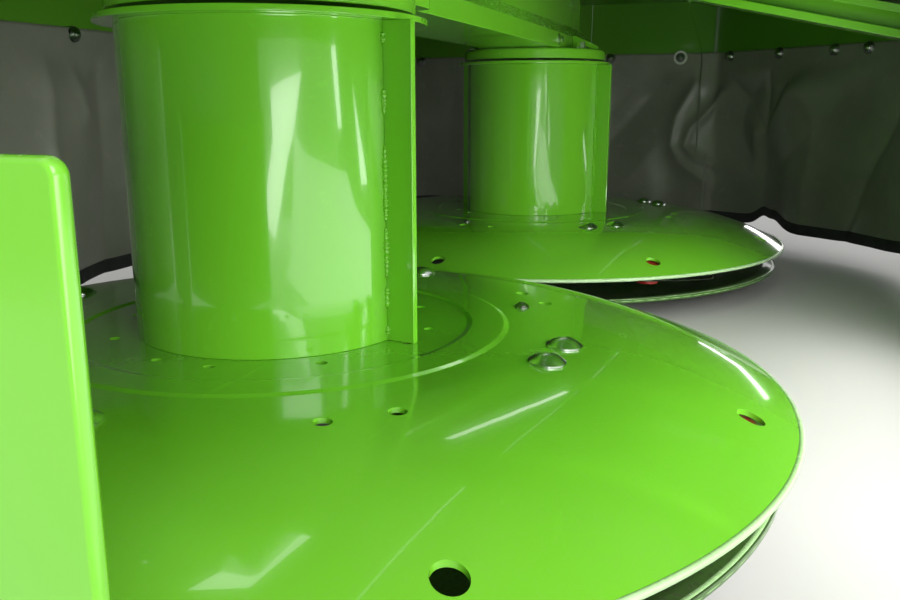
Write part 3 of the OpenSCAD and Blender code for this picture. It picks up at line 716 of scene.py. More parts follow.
class Fasteners:
    """Bolts, nuts and washers, each made once with its foot at the origin."""

    @staticmethod
    def cap(width: float, height: float, steps: int) -> Shape:
        """A domed head: a short straight edge, then a part of a sphere.

        The height over the edge at a share t of the radius is (1 - t squared) of the rest.

        Args:
            width: the head's diameter.
            height: its whole height.
            steps: the number of steps round it.

        Returns:
            The head.
        """
        edge = 0.18 * height
        share = np.linspace(1.0, 0.06, 9)
        crown = [(0.5 * width * t, edge + (height - edge) * (1.0 - t * t)) for t in share]
        return revolved([(0.5 * width, 0.0)] + crown, steps)

    @staticmethod
    def washer(width: float, hole: float, height: float, steps: int = 28) -> Shape:
        """A flat ring with its upper edges taken off.

        Args:
            width: the ring's outer diameter.
            hole: its inner diameter.
            height: its thickness.
            steps: the number of steps round it.

        Returns:
            The ring.
        """
        ease = 0.2 * height
        out, inner = 0.5 * width, 0.5 * hole
        return revolved([
            (inner, 0.0), (out, 0.0), (out, height - ease), (out - ease, height),
            (inner + ease, height), (inner, height - ease),
        ], steps, loop=True)

    @staticmethod
    def hexagon(flats: float, height: float) -> Shape:
        """A hexagon head whose corners are taken off at the top.

        Args:
            flats: the width across the flats.
            height: its height.

        Returns:
            The head.
        """
        radius = flats / math.sqrt(3.0)
        return revolved([
            (radius, 0.0), (radius, 0.86 * height), (0.9 * radius, height), (0.3 * radius, height),
        ], 6)

    @classmethod
    def bolt(cls, flats: float, height: float) -> Shape:
        """A hexagon head on a washer.

        Args:
            flats: the width across the flats.
            height: the head's height over its washer.

        Returns:
            The head and its washer.
        """
        thick = 0.22 * height
        ring = cls.washer(2.0 * flats, 0.9 * flats, thick)
        return Shape.joined([ring, cls.hexagon(flats, height).placed((0.0, 0.0, thick))])

    @classmethod
    def nut(cls, flats: float, height: float, stud: float, past: float) -> Shape:
        """A nut on a washer, with the end of its bolt standing out.

        Args:
            flats: the width across the flats.
            height: the nut's height over its washer.
            stud: the bolt's diameter.
            past: how far the bolt stands out of the nut.

        Returns:
            The nut, its washer and the bolt's end.
        """
        thick = 0.18 * height
        ring = cls.washer(1.9 * flats, 0.9 * flats, thick)
        body = cls.hexagon(flats, height).placed((0.0, 0.0, thick))
        tip = height + past
        end = revolved([
            (0.5 * stud, 0.0), (0.5 * stud, tip), (0.42 * stud, tip + 0.001),
        ], 16).placed((0.0, 0.0, thick))
        return Shape.joined([ring, body, end])


def make_piece(name: str, shape: Shape, material: bpy.types.Material, body: Body,
               sharp: float = 35.0, cut: np.ndarray | None = None) -> bpy.types.Object:
    """Makes a shape an object that rides on a body.

    Args:
        name: the piece's name.
        shape: its points and faces, in place.
        material: its finish.
        body: the body that it moves with.
        sharp: edges over this angle in degrees stay sharp.
        cut: the place of each point on the flat cloth, in metres, for the UV map "cut".

    Returns:
        The new object.
    """
    mesh = bpy.data.meshes.new(name)
    mesh.from_pydata(shape.points.tolist(), [], shape.quads.tolist() + shape.tris.tolist())
    mesh.shade_smooth()
    mesh.set_sharp_from_angle(angle=math.radians(sharp))
    if cut is not None:
        layer = mesh.uv_layers.new(name=CUT_MAP)
        corners = np.zeros(len(mesh.loops), dtype=np.int32)
        mesh.loops.foreach_get("vertex_index", corners)
        layer.data.foreach_set("uv", cut[corners].astype(np.float32).ravel())
    obj = bpy.data.objects.new(name, mesh)
    bpy.context.scene.collection.objects.link(obj)
    dress(obj, material)
    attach(obj, body.value)
    LOG.info("%s: %d faces on %s", name, len(mesh.polygons), body.value)
    return obj


@dataclass(frozen=True)
class Lamp:
    """A soft rectangular lamp that faces a point. Reflections show it where it is mirrored."""

    name: str
    at: Point
    to: Point
    size: Spot
    power: float
    mirrored: bool = False

    def build(self) -> None:
        """Adds the lamp, which the camera doesn't see."""
        data = bpy.data.lights.new(self.name, "AREA")
        data.shape = "RECTANGLE"
        data.size, data.size_y = self.size
        data.energy = self.power
        lamp = bpy.data.objects.new(self.name, data)
        lamp.location = Vector(self.at)
        lamp.rotation_mode = "QUATERNION"
        lamp.rotation_quaternion = (Vector(self.to) - Vector(self.at)).to_track_quat("-Z", "Y")
        lamp.visible_camera = False
        lamp.visible_glossy = self.mirrored
        bpy.context.scene.collection.objects.link(lamp)


@dataclass(frozen=True)
class Card:
    """A flat card that only reflections find. It glows at its front and is black behind.

    The outline runs anticlockwise as seen from the front, and a strength of 1 is white.
    """

    name: str
    outline: Sequence[Point]
    strength: float
    colour: Colour = Colour(1.0, 1.0, 0.97)

    def material(self) -> bpy.types.Material:
        """Builds the card's glow.

        Returns:
            Its material.
        """
        material = bpy.data.materials.new(self.name)
        material.use_nodes = True
        material.node_tree.nodes.clear()
        graph = Graph(material.node_tree)
        back = graph.add("ShaderNodeNewGeometry").outputs["Backfacing"]
        front = graph.math("MULTIPLY", graph.math("SUBTRACT", 1.0, back), self.strength)
        glow = graph.add("ShaderNodeEmission", {"Color": self.colour.rgba(), "Strength": front})
        graph.add("ShaderNodeOutputMaterial", {0: glow.outputs[0]})
        return material

    def build(self) -> None:
        """Stands the card on the stage."""
        mesh = bpy.data.meshes.new(self.name)
        mesh.from_pydata(self.outline, [], [tuple(range(len(self.outline)))])
        card = bpy.data.objects.new(self.name, mesh)
        bpy.context.scene.collection.objects.link(card)
        dress(card, self.material())
        card.visible_camera = False
        card.visible_diffuse = False
        card.visible_shadow = False
        card.visible_transmission = False


@dataclass(frozen=True)
class Studio:
    """Floor, lamps, cards, world and the camera at the photograph's place.

    Each range holds two distances, between which the floor turns into the backdrop's tone.
    """

    lens: float = 34.68
    sensor: float = 36.0
    near_clip: float = 0.01
    eye: Point = (-1.128, -0.405, 0.318)
    heading: float = 19.7
    pitch: float = -12.94
    backdrop: Colour = Colour(0.66, 0.67, 0.66)
    sky: Colour = Colour(0.95, 0.97, 1.0)
    sky_strength: float = 0.45
    floor_reach: float = 14.0
    floor_level: float = -0.0004
    floor_tones: tuple[Colour, Colour] = (Colour(0.50, 0.49, 0.47), Colour(0.56, 0.55, 0.53))
    floor_bounce: Colour = Colour(0.16, 0.16, 0.15)
    floor_roughness: float = 0.7
    fade_range: Spot = (1.7, 5.5)
    lamp_range: Spot = (1.12, 1.5)
    lamp_way: Spot = (-0.8, -0.6)

    def build(self) -> None:
        """Makes the stage."""
        self._camera()
        self._world()
        self._floor()
        for lamp in self._lamps():
            lamp.build()
        for card in self._cards():
            card.build()

    def _camera(self) -> None:
        """Places the camera by its heading from +X and its pitch."""
        data = bpy.data.cameras.new("camera")
        data.lens = self.lens
        data.sensor_width = self.sensor
        data.clip_start = self.near_clip
        camera = bpy.data.objects.new("camera", data)
        turn = math.radians(self.heading)
        tilt = math.radians(self.pitch)
        level = math.cos(tilt)
        look = Vector((math.cos(turn) * level, math.sin(turn) * level, math.sin(tilt)))
        camera.rotation_mode = "QUATERNION"
        camera.rotation_quaternion = look.to_track_quat("-Z", "Y")
        camera.location = self.eye
        bpy.context.scene.collection.objects.link(camera)
        bpy.context.scene.camera = camera

    def _shown(self, graph: Graph, path: bpy.types.Node) -> bpy.types.NodeSocket:
        """A mask of the rays that show the backdrop: seen straight, mirrored or through glass."""
        bent = graph.math("ADD", path.outputs["Is Glossy Ray"], path.outputs["Is Transmission Ray"])
        return graph.math("ADD", path.outputs["Is Camera Ray"], bent, clamp=True)

    def _world(self) -> None:
        """Makes a world that lights softly and shows the pale backdrop."""
        world = bpy.data.worlds.new("world")
        bpy.context.scene.world = world
        world.use_nodes = True
        world.node_tree.nodes.clear()
        graph = Graph(world.node_tree)
        shown = self._shown(graph, graph.add("ShaderNodeLightPath"))
        seen = graph.add("ShaderNodeBackground", {"Color": self.backdrop.rgba(), "Strength": 1.0})
        light = graph.add("ShaderNodeBackground", {
            "Color": self.sky.rgba(), "Strength": self.sky_strength,
        })
        pick = graph.add("ShaderNodeMixShader", {0: shown, 1: light.outputs[0], 2: seen.outputs[0]})
        graph.add("ShaderNodeOutputWorld", {0: pick.outputs[0]})

    def _floor(self) -> None:
        """Lays the floor just under the dishes."""
        reach, low = self.floor_reach, self.floor_level
        corners = [(x * reach, y * reach, low) for x, y in ((-1, -1), (1, -1), (1, 1), (-1, 1))]
        mesh = bpy.data.meshes.new("floor")
        mesh.from_pydata(corners, [], [(0, 1, 2, 3)])
        floor = bpy.data.objects.new("floor", mesh)
        bpy.context.scene.collection.objects.link(floor)
        dress(floor, self._floor_material())

    def _floor_material(self) -> bpy.types.Material:
        """Builds the floor's finish, a pale matt ground that keeps the object's shadow.

        Only the camera and reflections see it pale. For bounced light it is dark, as the photo's
        ground is. It turns into the backdrop's even tone far out, and for the camera also beyond
        the near end and the near front corner, so that the fill lamps there leave no bright pool.
        Seen from below it is clear.

        Returns:
            Its material.
        """
        material, graph, shader = new_material("pale_floor")
        where = graph.add("ShaderNodeTexCoord").outputs["Object"]
        path = graph.add("ShaderNodeLightPath")
        camera = path.outputs["Is Camera Ray"]
        shown = self._shown(graph, path)
        first, second = self.floor_tones
        pale = graph.mix(graph.noise(where, 1.2, 4.0), first.rgba(), second.rgba())
        tone = graph.mix(shown, self.floor_bounce.rgba(), pale)
        graph.feed(shader.inputs["Base Color"], tone)
        shader.inputs["Roughness"].default_value = self.floor_roughness
        away = graph.add("ShaderNodeVectorMath", {0: where}, operation="LENGTH").outputs["Value"]
        faded = graph.math("MULTIPLY", graph.remap(away, *self.fade_range), shown)
        beyond = graph.remap(self._past_near_end(graph, where), *self.lamp_range)
        even = graph.math("MAXIMUM", faded, graph.math("MULTIPLY", beyond, camera))
        glow = graph.add("ShaderNodeEmission", {"Color": self.backdrop.rgba(), "Strength": 1.0})
        ground = graph.add("ShaderNodeMixShader", {
            0: even, 1: shader.outputs[0], 2: glow.outputs[0],
        })
        back = graph.add("ShaderNodeNewGeometry").outputs["Backfacing"]
        under = graph.math("MULTIPLY", back, camera)
        clear = graph.add("ShaderNodeBsdfTransparent")
        both = graph.add("ShaderNodeMixShader", {
            0: under, 1: ground.outputs[0], 2: clear.outputs[0],
        })
        graph.feed(graph.output.inputs[0], both.outputs[0])
        return material

    def _past_near_end(self, graph: Graph, where: bpy.types.NodeSocket) -> bpy.types.NodeSocket:
        """How far a place lies towards the near end or the near front corner.

        It is the larger one of the distances along -X and along the lamps' way.

        Args:
            graph: the graph that the nodes go into.
            where: the place.

        Returns:
            The distance in metres.
        """
        parts = graph.add("ShaderNodeSeparateXYZ", {0: where})
        corner = graph.math("ADD", graph.math("MULTIPLY", parts.outputs[0], self.lamp_way[0]),
                            graph.math("MULTIPLY", parts.outputs[1], self.lamp_way[1]))
        return graph.math("MAXIMUM", graph.math("MULTIPLY", parts.outputs[0], -1.0), corner)

    def _lamps(self) -> list[Lamp]:
        """The soft studio lamps.

        Key, top and back light the whole machine. The other four stand for the daylight that
        comes in at its near end, under it and at the front.

        Returns:
            The lamps.
        """
        middle = (0.0, 0.0, 0.3)
        return [
            Lamp("key", (-2.6, -2.4, 2.2), middle, (2.0, 2.0), 90.0, mirrored=True),
            Lamp("near_end", (-1.8, -1.35, 0.45), (0.0, 0.0, 0.2), (0.8, 0.6), 22.0),
            Lamp("near_low", (-2.3, 0.35, 0.22), (0.97, -0.1, 0.24), (0.8, 0.36), 8.0),
            Lamp("inside_front", (-0.25, -0.66, 0.22), (-0.3, 0.0, 0.2), (0.7, 0.22), 4.4),
            Lamp("inside_far", (0.05, -0.45, 0.37), (0.97, 0.15, 0.20), (0.12, 0.12), 0.3),
            Lamp("top", (0.5, 0.5, 3.4), middle, (3.0, 3.0), 22.0, mirrored=True),
            Lamp("back", (2.8, 3.0, 1.8), middle, (2.0, 1.6), 60.0),
        ]

    def _cards(self) -> list[Card]:
        """The cards, which only reflections find: painted reflections of light and shade that the
        model lacks.

        Four upright ones before the drums paint the reflection of the bright ground seen past the open
        corner and through gaps, and a level one by the near end paints that of the ground there. Then
        come a painted reflection of a lit fold of the front curtain, two level ones under the hood
        that paint the streaks on the discs, and a dark one that paints shade into what the paint
        mirrors at the closed part of the near end.

        Returns:
            The cards.
        """
        front, near_ground, overhead, near_side = -0.655, 0.003, 0.50, -0.985
        ground = ((-1.30, 0.004), (-0.86, 0.004), (-0.42, 0.03), (0.02, 0.01), (0.04, 0.07),
                  (-0.23, 0.12), (-0.42, 0.17), (-0.51, 0.22), (-0.90, 0.24), (-1.06, 0.27),
                  (-1.16, 0.05))
        gap = ((-1.90, 0.04), (-1.52, 0.04), (-1.06, 0.27), (-0.92, 0.36), (-1.49, 0.34),
               (-1.48, 0.24))
        slit_left = ((-0.57, 0.28), (-0.54, 0.28), (-0.57, 0.39), (-0.62, 0.39))
        slit_right = ((-0.36, 0.20), (-0.29, 0.20), (-0.43, 0.34))
        upright = (("card_ground", ground, 2.6), ("card_gap", gap, 6.5),
                   ("card_slit_left", slit_left, 7.0), ("card_slit_right", slit_right, 6.0))
        cards = [Card(name, [(x, front, z) for x, z in outline[::-1]], strength)
                 for name, outline, strength in upright]
        near = ((-1.9, -0.3), (-1.06, -0.3), (-1.06, 1.6), (-1.9, 1.6))
        fold = ((0.835, 0.094, 0.120), (0.713, 0.116, 0.146), (0.588, 0.214, 0.246))
        fold_low = [(x, x - 1.23, low) for x, low, _ in fold]
        fold_high = [(x, x - 1.23, high) for x, _, high in fold[::-1]]
        slot = ((-0.16, -0.10), (0.24, -0.195), (0.24, -0.21), (-0.16, -0.115))
        head = ((-0.73, -0.02), (-0.66, -0.045), (-0.57, -0.065), (-0.57, -0.10), (-0.70, -0.09))
        shade = ((-0.25, 0.29), (0.33, 0.29), (0.33, 0.03), (0.57, 0.03), (0.57, 0.415),
                 (-0.25, 0.415))
        return cards + [
            Card("card_near_ground", [(x, y, near_ground) for x, y in near], 1.3),
            Card("card_fold", fold_low + fold_high, 3.2),
            Card("card_slot", [(x, y, overhead) for x, y in slot], 3.2),
            Card("card_head", [(x, y, overhead) for x, y in head], 3.2),
            Card("card_shade", [(near_side, y, z) for y, z in shade], 0.05),
        ]


@dataclass(frozen=True)
class Edge:
    """How the edges of the solids whose names start a certain way are broken."""

    starts: tuple[str, ...]
    width: float


@dataclass(frozen=True)
class Solids:
    """The frame's own solids: their finishes, and edges that catch the light."""

    nodes: dict[str, bpy.types.Object]
    shop: Paintshop
    edges: tuple[Edge, ...] = (
        Edge(("bevel_gearbox", "drive_head"), 0.003),
        Edge(("end_plate_brackets", "carrier_lugs", "collar"), 0.0015),
        Edge(("end_plate",), 0.0018),
        Edge(("beam", "head_lid", "guard_arms"), 0.0012),
        Edge(("hood", "front_flap"), 0.0009),
        Edge(("disc", "dish", "drum", "fins"), 0.0007),
    )
    small_edge: float = 0.0004
    same_point: float = 1e-5
    flat_angle: float = 0.03
    edge_angle: float = 30.0
    edge_steps: int = 2
    flat_weight: int = 60

    def finish_of(self, name: str) -> bpy.types.Material:
        """The finish of a node, by the start of its name.

        Args:
            name: the node's name.

        Returns:
            Its material.
        """
        table = (
            (("hood", "front_flap", "flap_hinge"), self.shop.hood_shaded_paint),
            (("knife_bars",), self.shop.red),
            (("knife", "input_shaft", "axle", "dish_hub"), self.shop.steel),
            (("belt_pulley",), self.shop.iron),
            (("curtain",), self.shop.cloth),
            (("dish",), self.shop.dish_shaded_paint),
            (("drum", "disc", "fins"), self.shop.rotor_paint),
        )
        for starts, material in table:
            if name.startswith(starts):
                return material
        return self.shop.paint

    def edge_of(self, name: str) -> float:
        """The width of a node's broken edges, by the start of its name.

        Args:
            name: the node's name.

        Returns:
            The width in metres.
        """
        for edge in self.edges:
            if name.startswith(edge.starts):
                return edge.width
        return self.small_edge

    def soften(self, obj: bpy.types.Object, width: float) -> None:
        """Joins a solid's loose faces and its flat ones, and breaks its sharp edges.

        Args:
            obj: the solid.
            width: the width of a broken edge.
        """
        obj.data.shade_smooth()
        weld = obj.modifiers.new("weld", "WELD")
        weld.merge_threshold = self.same_point
        planar = obj.modifiers.new("planar", "DECIMATE")
        planar.decimate_type = "DISSOLVE"
        planar.angle_limit = math.radians(self.flat_angle)
        bevel = obj.modifiers.new("bevel", "BEVEL")
        bevel.width = width
        bevel.segments = self.edge_steps
        bevel.limit_method = "ANGLE"
        bevel.angle_limit = math.radians(self.edge_angle)
        even = obj.modifiers.new("even", "WEIGHTED_NORMAL")
        even.mode = "FACE_AREA"
        even.weight = self.flat_weight
        even.keep_sharp = True

    def dress_all(self) -> None:
        """Gives every node its finish, and its edges unless a sheet replaces it."""
        for name, obj in self.nodes.items():
            dress(obj, self.finish_of(name))
            if not name.startswith("curtain"):
                self.soften(obj, self.edge_of(name))


@dataclass(frozen=True)
class Rotor:
    """One drum with its disc, knife bars and dish: what is bolted and welded on it.

    A head's pair is its width and height, and a ring's three are its width, hole and thickness.
    """

    side: str
    drum: Body
    dish: Body
    centre: Spot
    crown: float
    first_bar: float
    first_fin: float
    bars: int = 4
    bolt_radius: float = 0.262
    bolt_half_gap: float = 0.025
    bolt_head: Spot = (0.030, 0.0075)
    bolt_nut: Spot = (0.018, 0.010)
    bolt_stud: float = 0.012
    stud_past: float = 0.004
    nut_out: float = 0.024
    screw_radius: float = 0.2335
    screw_turn: float = 37.0
    screw_head: Spot = (0.012, 0.004)
    screw_ring: Point = (0.015, 0.008, 0.0012)
    hub_radius: float = 0.084
    hub_level: float = 0.0145
    hub_head: Spot = (0.013, 0.007)
    dome_start: float = 0.235
    dome_radius: float = 0.4926
    skin: float = 0.004
    bar_under: float = 0.0081
    drum_radius: float = 0.121
    fin_thick: float = 0.006
    fin_high: float = 0.257
    weld_radius: float = 0.0034
    weld_ripple: float = 0.004
    weld_slice: float = 0.0009
    weld_steps: int = 10
    weld_lift: float = 0.0006
    rim_radius: float = 0.437
    rim_height: float = 0.0385
    rim_half: Spot = (0.0035, 0.0030)
    disc_radius: float = 0.449
    bead_steps: int = 14
    ring_steps: int = 256
    edge_half: float = 0.0026
    edge_proud: float = 0.0006
    edge_up: float = 0.0022

    def place(self, radius: float, turn: float, height: float) -> Point:
        """The point at a radius and a turn about the drum's axis.

        Args:
            radius: its distance from the axis.
            turn: its turn in degrees.
            height: its height over the ground.

        Returns:
            The point.
        """
        angle = math.radians(turn)
        x, y = self.centre
        return (x + radius * math.cos(angle), y + radius * math.sin(angle), height)

    def dome(self, radius: float) -> float:
        """Height of the disc's skin: the crown, less the fall of an arc past its start."""
        out = max(0.0, radius - self.dome_start)
        return self.crown - self.dome_radius + math.sqrt(self.dome_radius ** 2 - out ** 2)

    def slope(self, radius: float, turn: float) -> Point:
        """The direction square to the disc's skin, which leans out by the arc's angle there.

        Args:
            radius: the distance from the drum's axis.
            turn: the turn about it in degrees.

        Returns:
            The unit direction.
        """
        lean = math.asin(max(0.0, radius - self.dome_start) / self.dome_radius)
        angle = math.radians(turn)
        return (math.sin(lean) * math.cos(angle), math.sin(lean) * math.sin(angle), math.cos(lean))

    def bar_turns(self) -> list[float]:
        """The turns in degrees of the two bolts at each knife bar.

        Returns:
            Two turns for each bar.
        """
        half = math.degrees(math.asin(self.bolt_half_gap / self.bolt_radius))
        stations = [self.first_bar + index * 360.0 / self.bars for index in range(self.bars)]
        return [station + sign * half for station in stations for sign in (-1.0, 1.0)]

    def bolts(self, shop: Paintshop) -> None:
        """Sets the domed bolts of the knife bars on the disc, and their nuts under the bars.

        Args:
            shop: the finishes.
        """
        head = Fasteners.cap(*self.bolt_head, 36)
        nut = Fasteners.nut(*self.bolt_nut, self.bolt_stud, self.stud_past)
        over = self.dome(self.bolt_radius)
        under = self.dome(self.bolt_radius + self.nut_out) - self.skin - self.bar_under
        heads, nuts = [], []
        for index, turn in enumerate(self.bar_turns()):
            up = self.slope(self.bolt_radius, turn)
            heads.append(head.placed(self.place(self.bolt_radius, turn, over), up))
            low = self.place(self.bolt_radius, turn, under)
            nuts.append(nut.placed(low, DOWN, 0.4 * index))
        make_piece(f"disc_bolts_{self.side}", Shape.joined(heads), shop.zinc, self.drum)
        make_piece(f"bar_nuts_{self.side}", Shape.joined(nuts), shop.dull_zinc, self.drum)

    def balance_screws(self, shop: Paintshop) -> None:
        """Sets two small screws opposite each other, just outside the raised ring.

        Args:
            shop: the finishes.
        """
        turn = self.first_bar + self.screw_turn
        screw = Fasteners.cap(*self.screw_head, 20)
        ring = Fasteners.washer(*self.screw_ring, 20)
        screws = []
        for angle in (turn, turn + 180.0):
            foot = self.place(self.screw_radius, angle, self.crown)
            over = (foot[0], foot[1], foot[2] + self.screw_ring[2])
            screws += [ring.placed(foot), screw.placed(over)]
        make_piece(f"disc_screws_{self.side}", Shape.joined(screws), shop.dull_zinc, self.drum)

    def hub_bolts(self, shop: Paintshop) -> None:
        """Sets six bolts on the flange of the dish hub.

        Args:
            shop: the finishes.
        """
        bolt = Fasteners.bolt(*self.hub_head)
        places = [self.place(self.hub_radius, 60.0 * index, self.hub_level) for index in range(6)]
        bolts = [bolt.placed(place, turn=0.3 * index) for index, place in enumerate(places)]
        make_piece(f"dish_bolts_{self.side}", Shape.joined(bolts), shop.dull_zinc, self.dish)

    def bead(self, radius: float, height: float, half: Spot) -> Shape:
        """A ring round the drum's axis with an oval section.

        The section's points are the radius plus half the width times a cosine, and the height
        plus half the thickness times a sine.

        Args:
            radius: the distance of the section's middle from the axis.
            height: its height.
            half: half of its width and half of its thickness.

        Returns:
            The ring.
        """
        angle = np.arange(self.bead_steps) * TAU / self.bead_steps
        across, tall = half[0] * np.cos(angle), half[1] * np.sin(angle)
        section = np.stack([radius + across, height + tall], axis=1)
        return revolved(section, self.ring_steps, loop=True).placed((*self.centre, 0.0))

    def dish_rim(self, shop: Paintshop) -> None:
        """Rolls the dish's edge into a bead 7 mm wide, in a pale paint that is a painted highlight.

        Args:
            shop: the finishes.
        """
        ring = self.bead(self.rim_radius - self.rim_half[0], self.rim_height, self.rim_half)
        make_piece(f"dish_rim_{self.side}", ring, shop.rim_highlight_paint, self.dish,
                   sharp=80.0)

    def disc_edge(self, shop: Paintshop) -> None:
        """Lays a bead of pale paint along the disc's edge, a little proud of it, as a painted
        highlight.

        Args:
            shop: the finishes.
        """
        radius = self.disc_radius + self.edge_proud - self.edge_half
        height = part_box(f"disc_{self.side}")[0].z + self.edge_up
        ring = self.bead(radius, height, (self.edge_half, self.edge_half))
        make_piece(f"disc_edge_{self.side}", ring, shop.rim_highlight_paint, self.drum,
                   sharp=80.0)

    def weld(self, turn: float, side: float, start: float, end: float, phase: float) -> Shape:
        """One run of weld in the corner between the drum and a fin.

        The bead is an upright tube. Its radius is the weld's radius times three things: a ripple
        from a half to 1 that comes again every 4 mm of height, a slower drift between a half and
        1, and, at the ends, the root of nine times the share done times the share left.

        Args:
            turn: the fin's turn in degrees.
            side: the fin's side, -1 or 1.
            start: the bead's lower end, as a share of the fin's height.
            end: its upper end, as such a share.
            phase: moves the ripples.

        Returns:
            The bead.
        """
        low, high = self.crown + start * self.fin_high, self.crown + end * self.fin_high
        height = np.linspace(low, high, max(12, int((high - low) / self.weld_slice)))
        share = (height - low) / (high - low)
        ripple = 0.5 + 0.5 * np.abs(np.sin(np.pi * height / self.weld_ripple + phase))
        drift = 0.75 + 0.25 * np.sin(height * 310.0 + 2.0 * phase) * np.sin(height * 127.0 + phase)
        taper = np.clip(9.0 * share * (1.0 - share), 0.05, 1.0) ** 0.5
        radius = self.weld_radius * ripple * drift * taper
        away = math.degrees((0.5 * self.fin_thick + self.weld_lift) / self.drum_radius)
        heart = self.place(self.drum_radius + self.weld_lift, turn + side * away, 0.0)
        angle = np.arange(self.weld_steps) * TAU / self.weld_steps
        rings = np.stack([
            heart[0] + radius[:, None] * np.cos(angle), heart[1] + radius[:, None] * np.sin(angle),
            np.repeat(height[:, None], self.weld_steps, axis=1),
        ], axis=-1)
        return carried(rings)

    def welds(self, shop: Paintshop) -> None:
        """Lays the stitches of weld on both sides of both fins.

        Args:
            shop: the finishes.
        """
        runs = ((0.02, 0.05), (0.11, 0.175), (0.21, 0.37), (0.39, 0.63), (0.72, 0.80), (0.93, 0.965))
        beads = []
        for fin in (0.0, 180.0):
            for side in (-1.0, 1.0):
                for index, (start, end) in enumerate(runs):
                    beads.append(self.weld(self.first_fin + fin, side, start, end, index + side))
        make_piece(f"fin_welds_{self.side}", Shape.joined(beads), shop.rotor_paint, self.drum,
                   sharp=70.0)

    def build(self, shop: Paintshop) -> None:
        """Makes everything that is bolted and welded on this rotor.

        Args:
            shop: the finishes.
        """
        self.bolts(shop)
        self.balance_screws(shop)
        self.hub_bolts(shop)
        self.dish_rim(shop)
        self.disc_edge(shop)
        self.welds(shop)


@dataclass(frozen=True)
class Route:
    """The plan of a curtain, clockwise from above, so that inward is to the right of the way."""

    corners: tuple[Spot, ...]
    bend: float = 0.022
    arc_steps: int = 9
    fine_step: float = 0.002

    def line(self) -> np.ndarray:
        """The plan's points, with each corner rounded by an arc that touches both sides.

        With a share t of the arc done, its point is the corner plus the cut times the sum of
        (1 - t) squared of the way back and t squared of the way ahead.

        Returns:
            An array of points by 2.
        """
        points = [np.array(self.corners[0])]
        for before, here, after in zip(self.corners, self.corners[1:], self.corners[2:]):
            corner = np.array(here)
            back, ahead = np.array(before) - corner, np.array(after) - corner
            room = min(np.linalg.norm(back), np.linalg.norm(ahead))
            back, ahead = back / np.linalg.norm(back), ahead / np.linalg.norm(ahead)
            half = 0.5 * math.acos(float(np.clip(back @ ahead, -1.0, 1.0)))
            cut = min(self.bend / math.tan(half), 0.95 * room)
            for share in np.linspace(0.0, 1.0, self.arc_steps):
                points.append(corner + cut * ((1.0 - share) ** 2 * back + share ** 2 * ahead))
        points.append(np.array(self.corners[-1]))
        return np.array(points)

    def stations(self, step: float) -> tuple[np.ndarray, np.ndarray, np.ndarray]:
        """Even stations along the plan.

        Args:
            step: the distance between two stations.

        Returns:
            The distance along the plan, the points, and the inward directions.
        """
        line = self.line()
        run = np.concatenate([[0.0], np.cumsum(np.linalg.norm(np.diff(line, axis=0), axis=1))])
        along = np.linspace(0.0, run[-1], int(run[-1] / step) + 1)
        points = np.stack([np.interp(along, run, line[:, axis]) for axis in (0, 1)], axis=1)
        way = np.gradient(points, axis=0)
        way = way / np.linalg.norm(way, axis=1, keepdims=True)
        return along, points, np.stack([way[:, 1], -way[:, 0]], axis=1)

    def at(self, along: float) -> tuple[np.ndarray, np.ndarray]:
        """One place on the plan.

        Args:
            along: its distance along the plan.

        Returns:
            The point and the inward direction there.
        """
        run, points, inward = self.stations(self.fine_step)
        index = int(np.clip(np.searchsorted(run, along), 0, len(run) - 1))
        return points[index], inward[index]


@dataclass(frozen=True)
class Crease:
    """A fold along a line of (distance along, height) points. A rise over zero stands inward."""

    line: tuple[Spot, ...]
    rise: float
    reach: float
    soft: float = 0.0025
    flat: bool = False

    def moved(self, way: float) -> "Crease":
        """The same fold, further along by a distance."""
        return replace(self, line=tuple((s + way, z) for s, z in self.line))

    def height(self, along: np.ndarray, up: np.ndarray) -> np.ndarray:
        """How far the fold stands inward, which falls with the distance to its line.

        The share is that distance, rounded off over the soft part, as a part of the reach. A fold
        with flat sides has the rise times 1 less the share, and any other e to minus the share.

        Args:
            along: distance along the plan.
            up: height over the ground.

        Returns:
            The distance inward in metres.
        """
        best = np.full(along.shape, np.inf)
        for (s0, z0), (s1, z1) in zip(self.line, self.line[1:]):
            ds, dz = s1 - s0, z1 - z0
            share = np.clip(((along - s0) * ds + (up - z0) * dz) / (ds * ds + dz * dz), 0.0, 1.0)
            best = np.minimum(best, np.hypot(along - s0 - share * ds, up - z0 - share * dz))
        share = (np.sqrt(best ** 2 + self.soft ** 2) - self.soft) / self.reach
        if self.flat:
            return self.rise * np.clip(1.0 - share, 0.0, 1.0)
        return self.rise * np.exp(-share)


@dataclass(frozen=True)
class Lift:
    """A place where the hem is pulled up: its distance along, its rise and its half width."""

    along: float
    rise: float
    reach: float


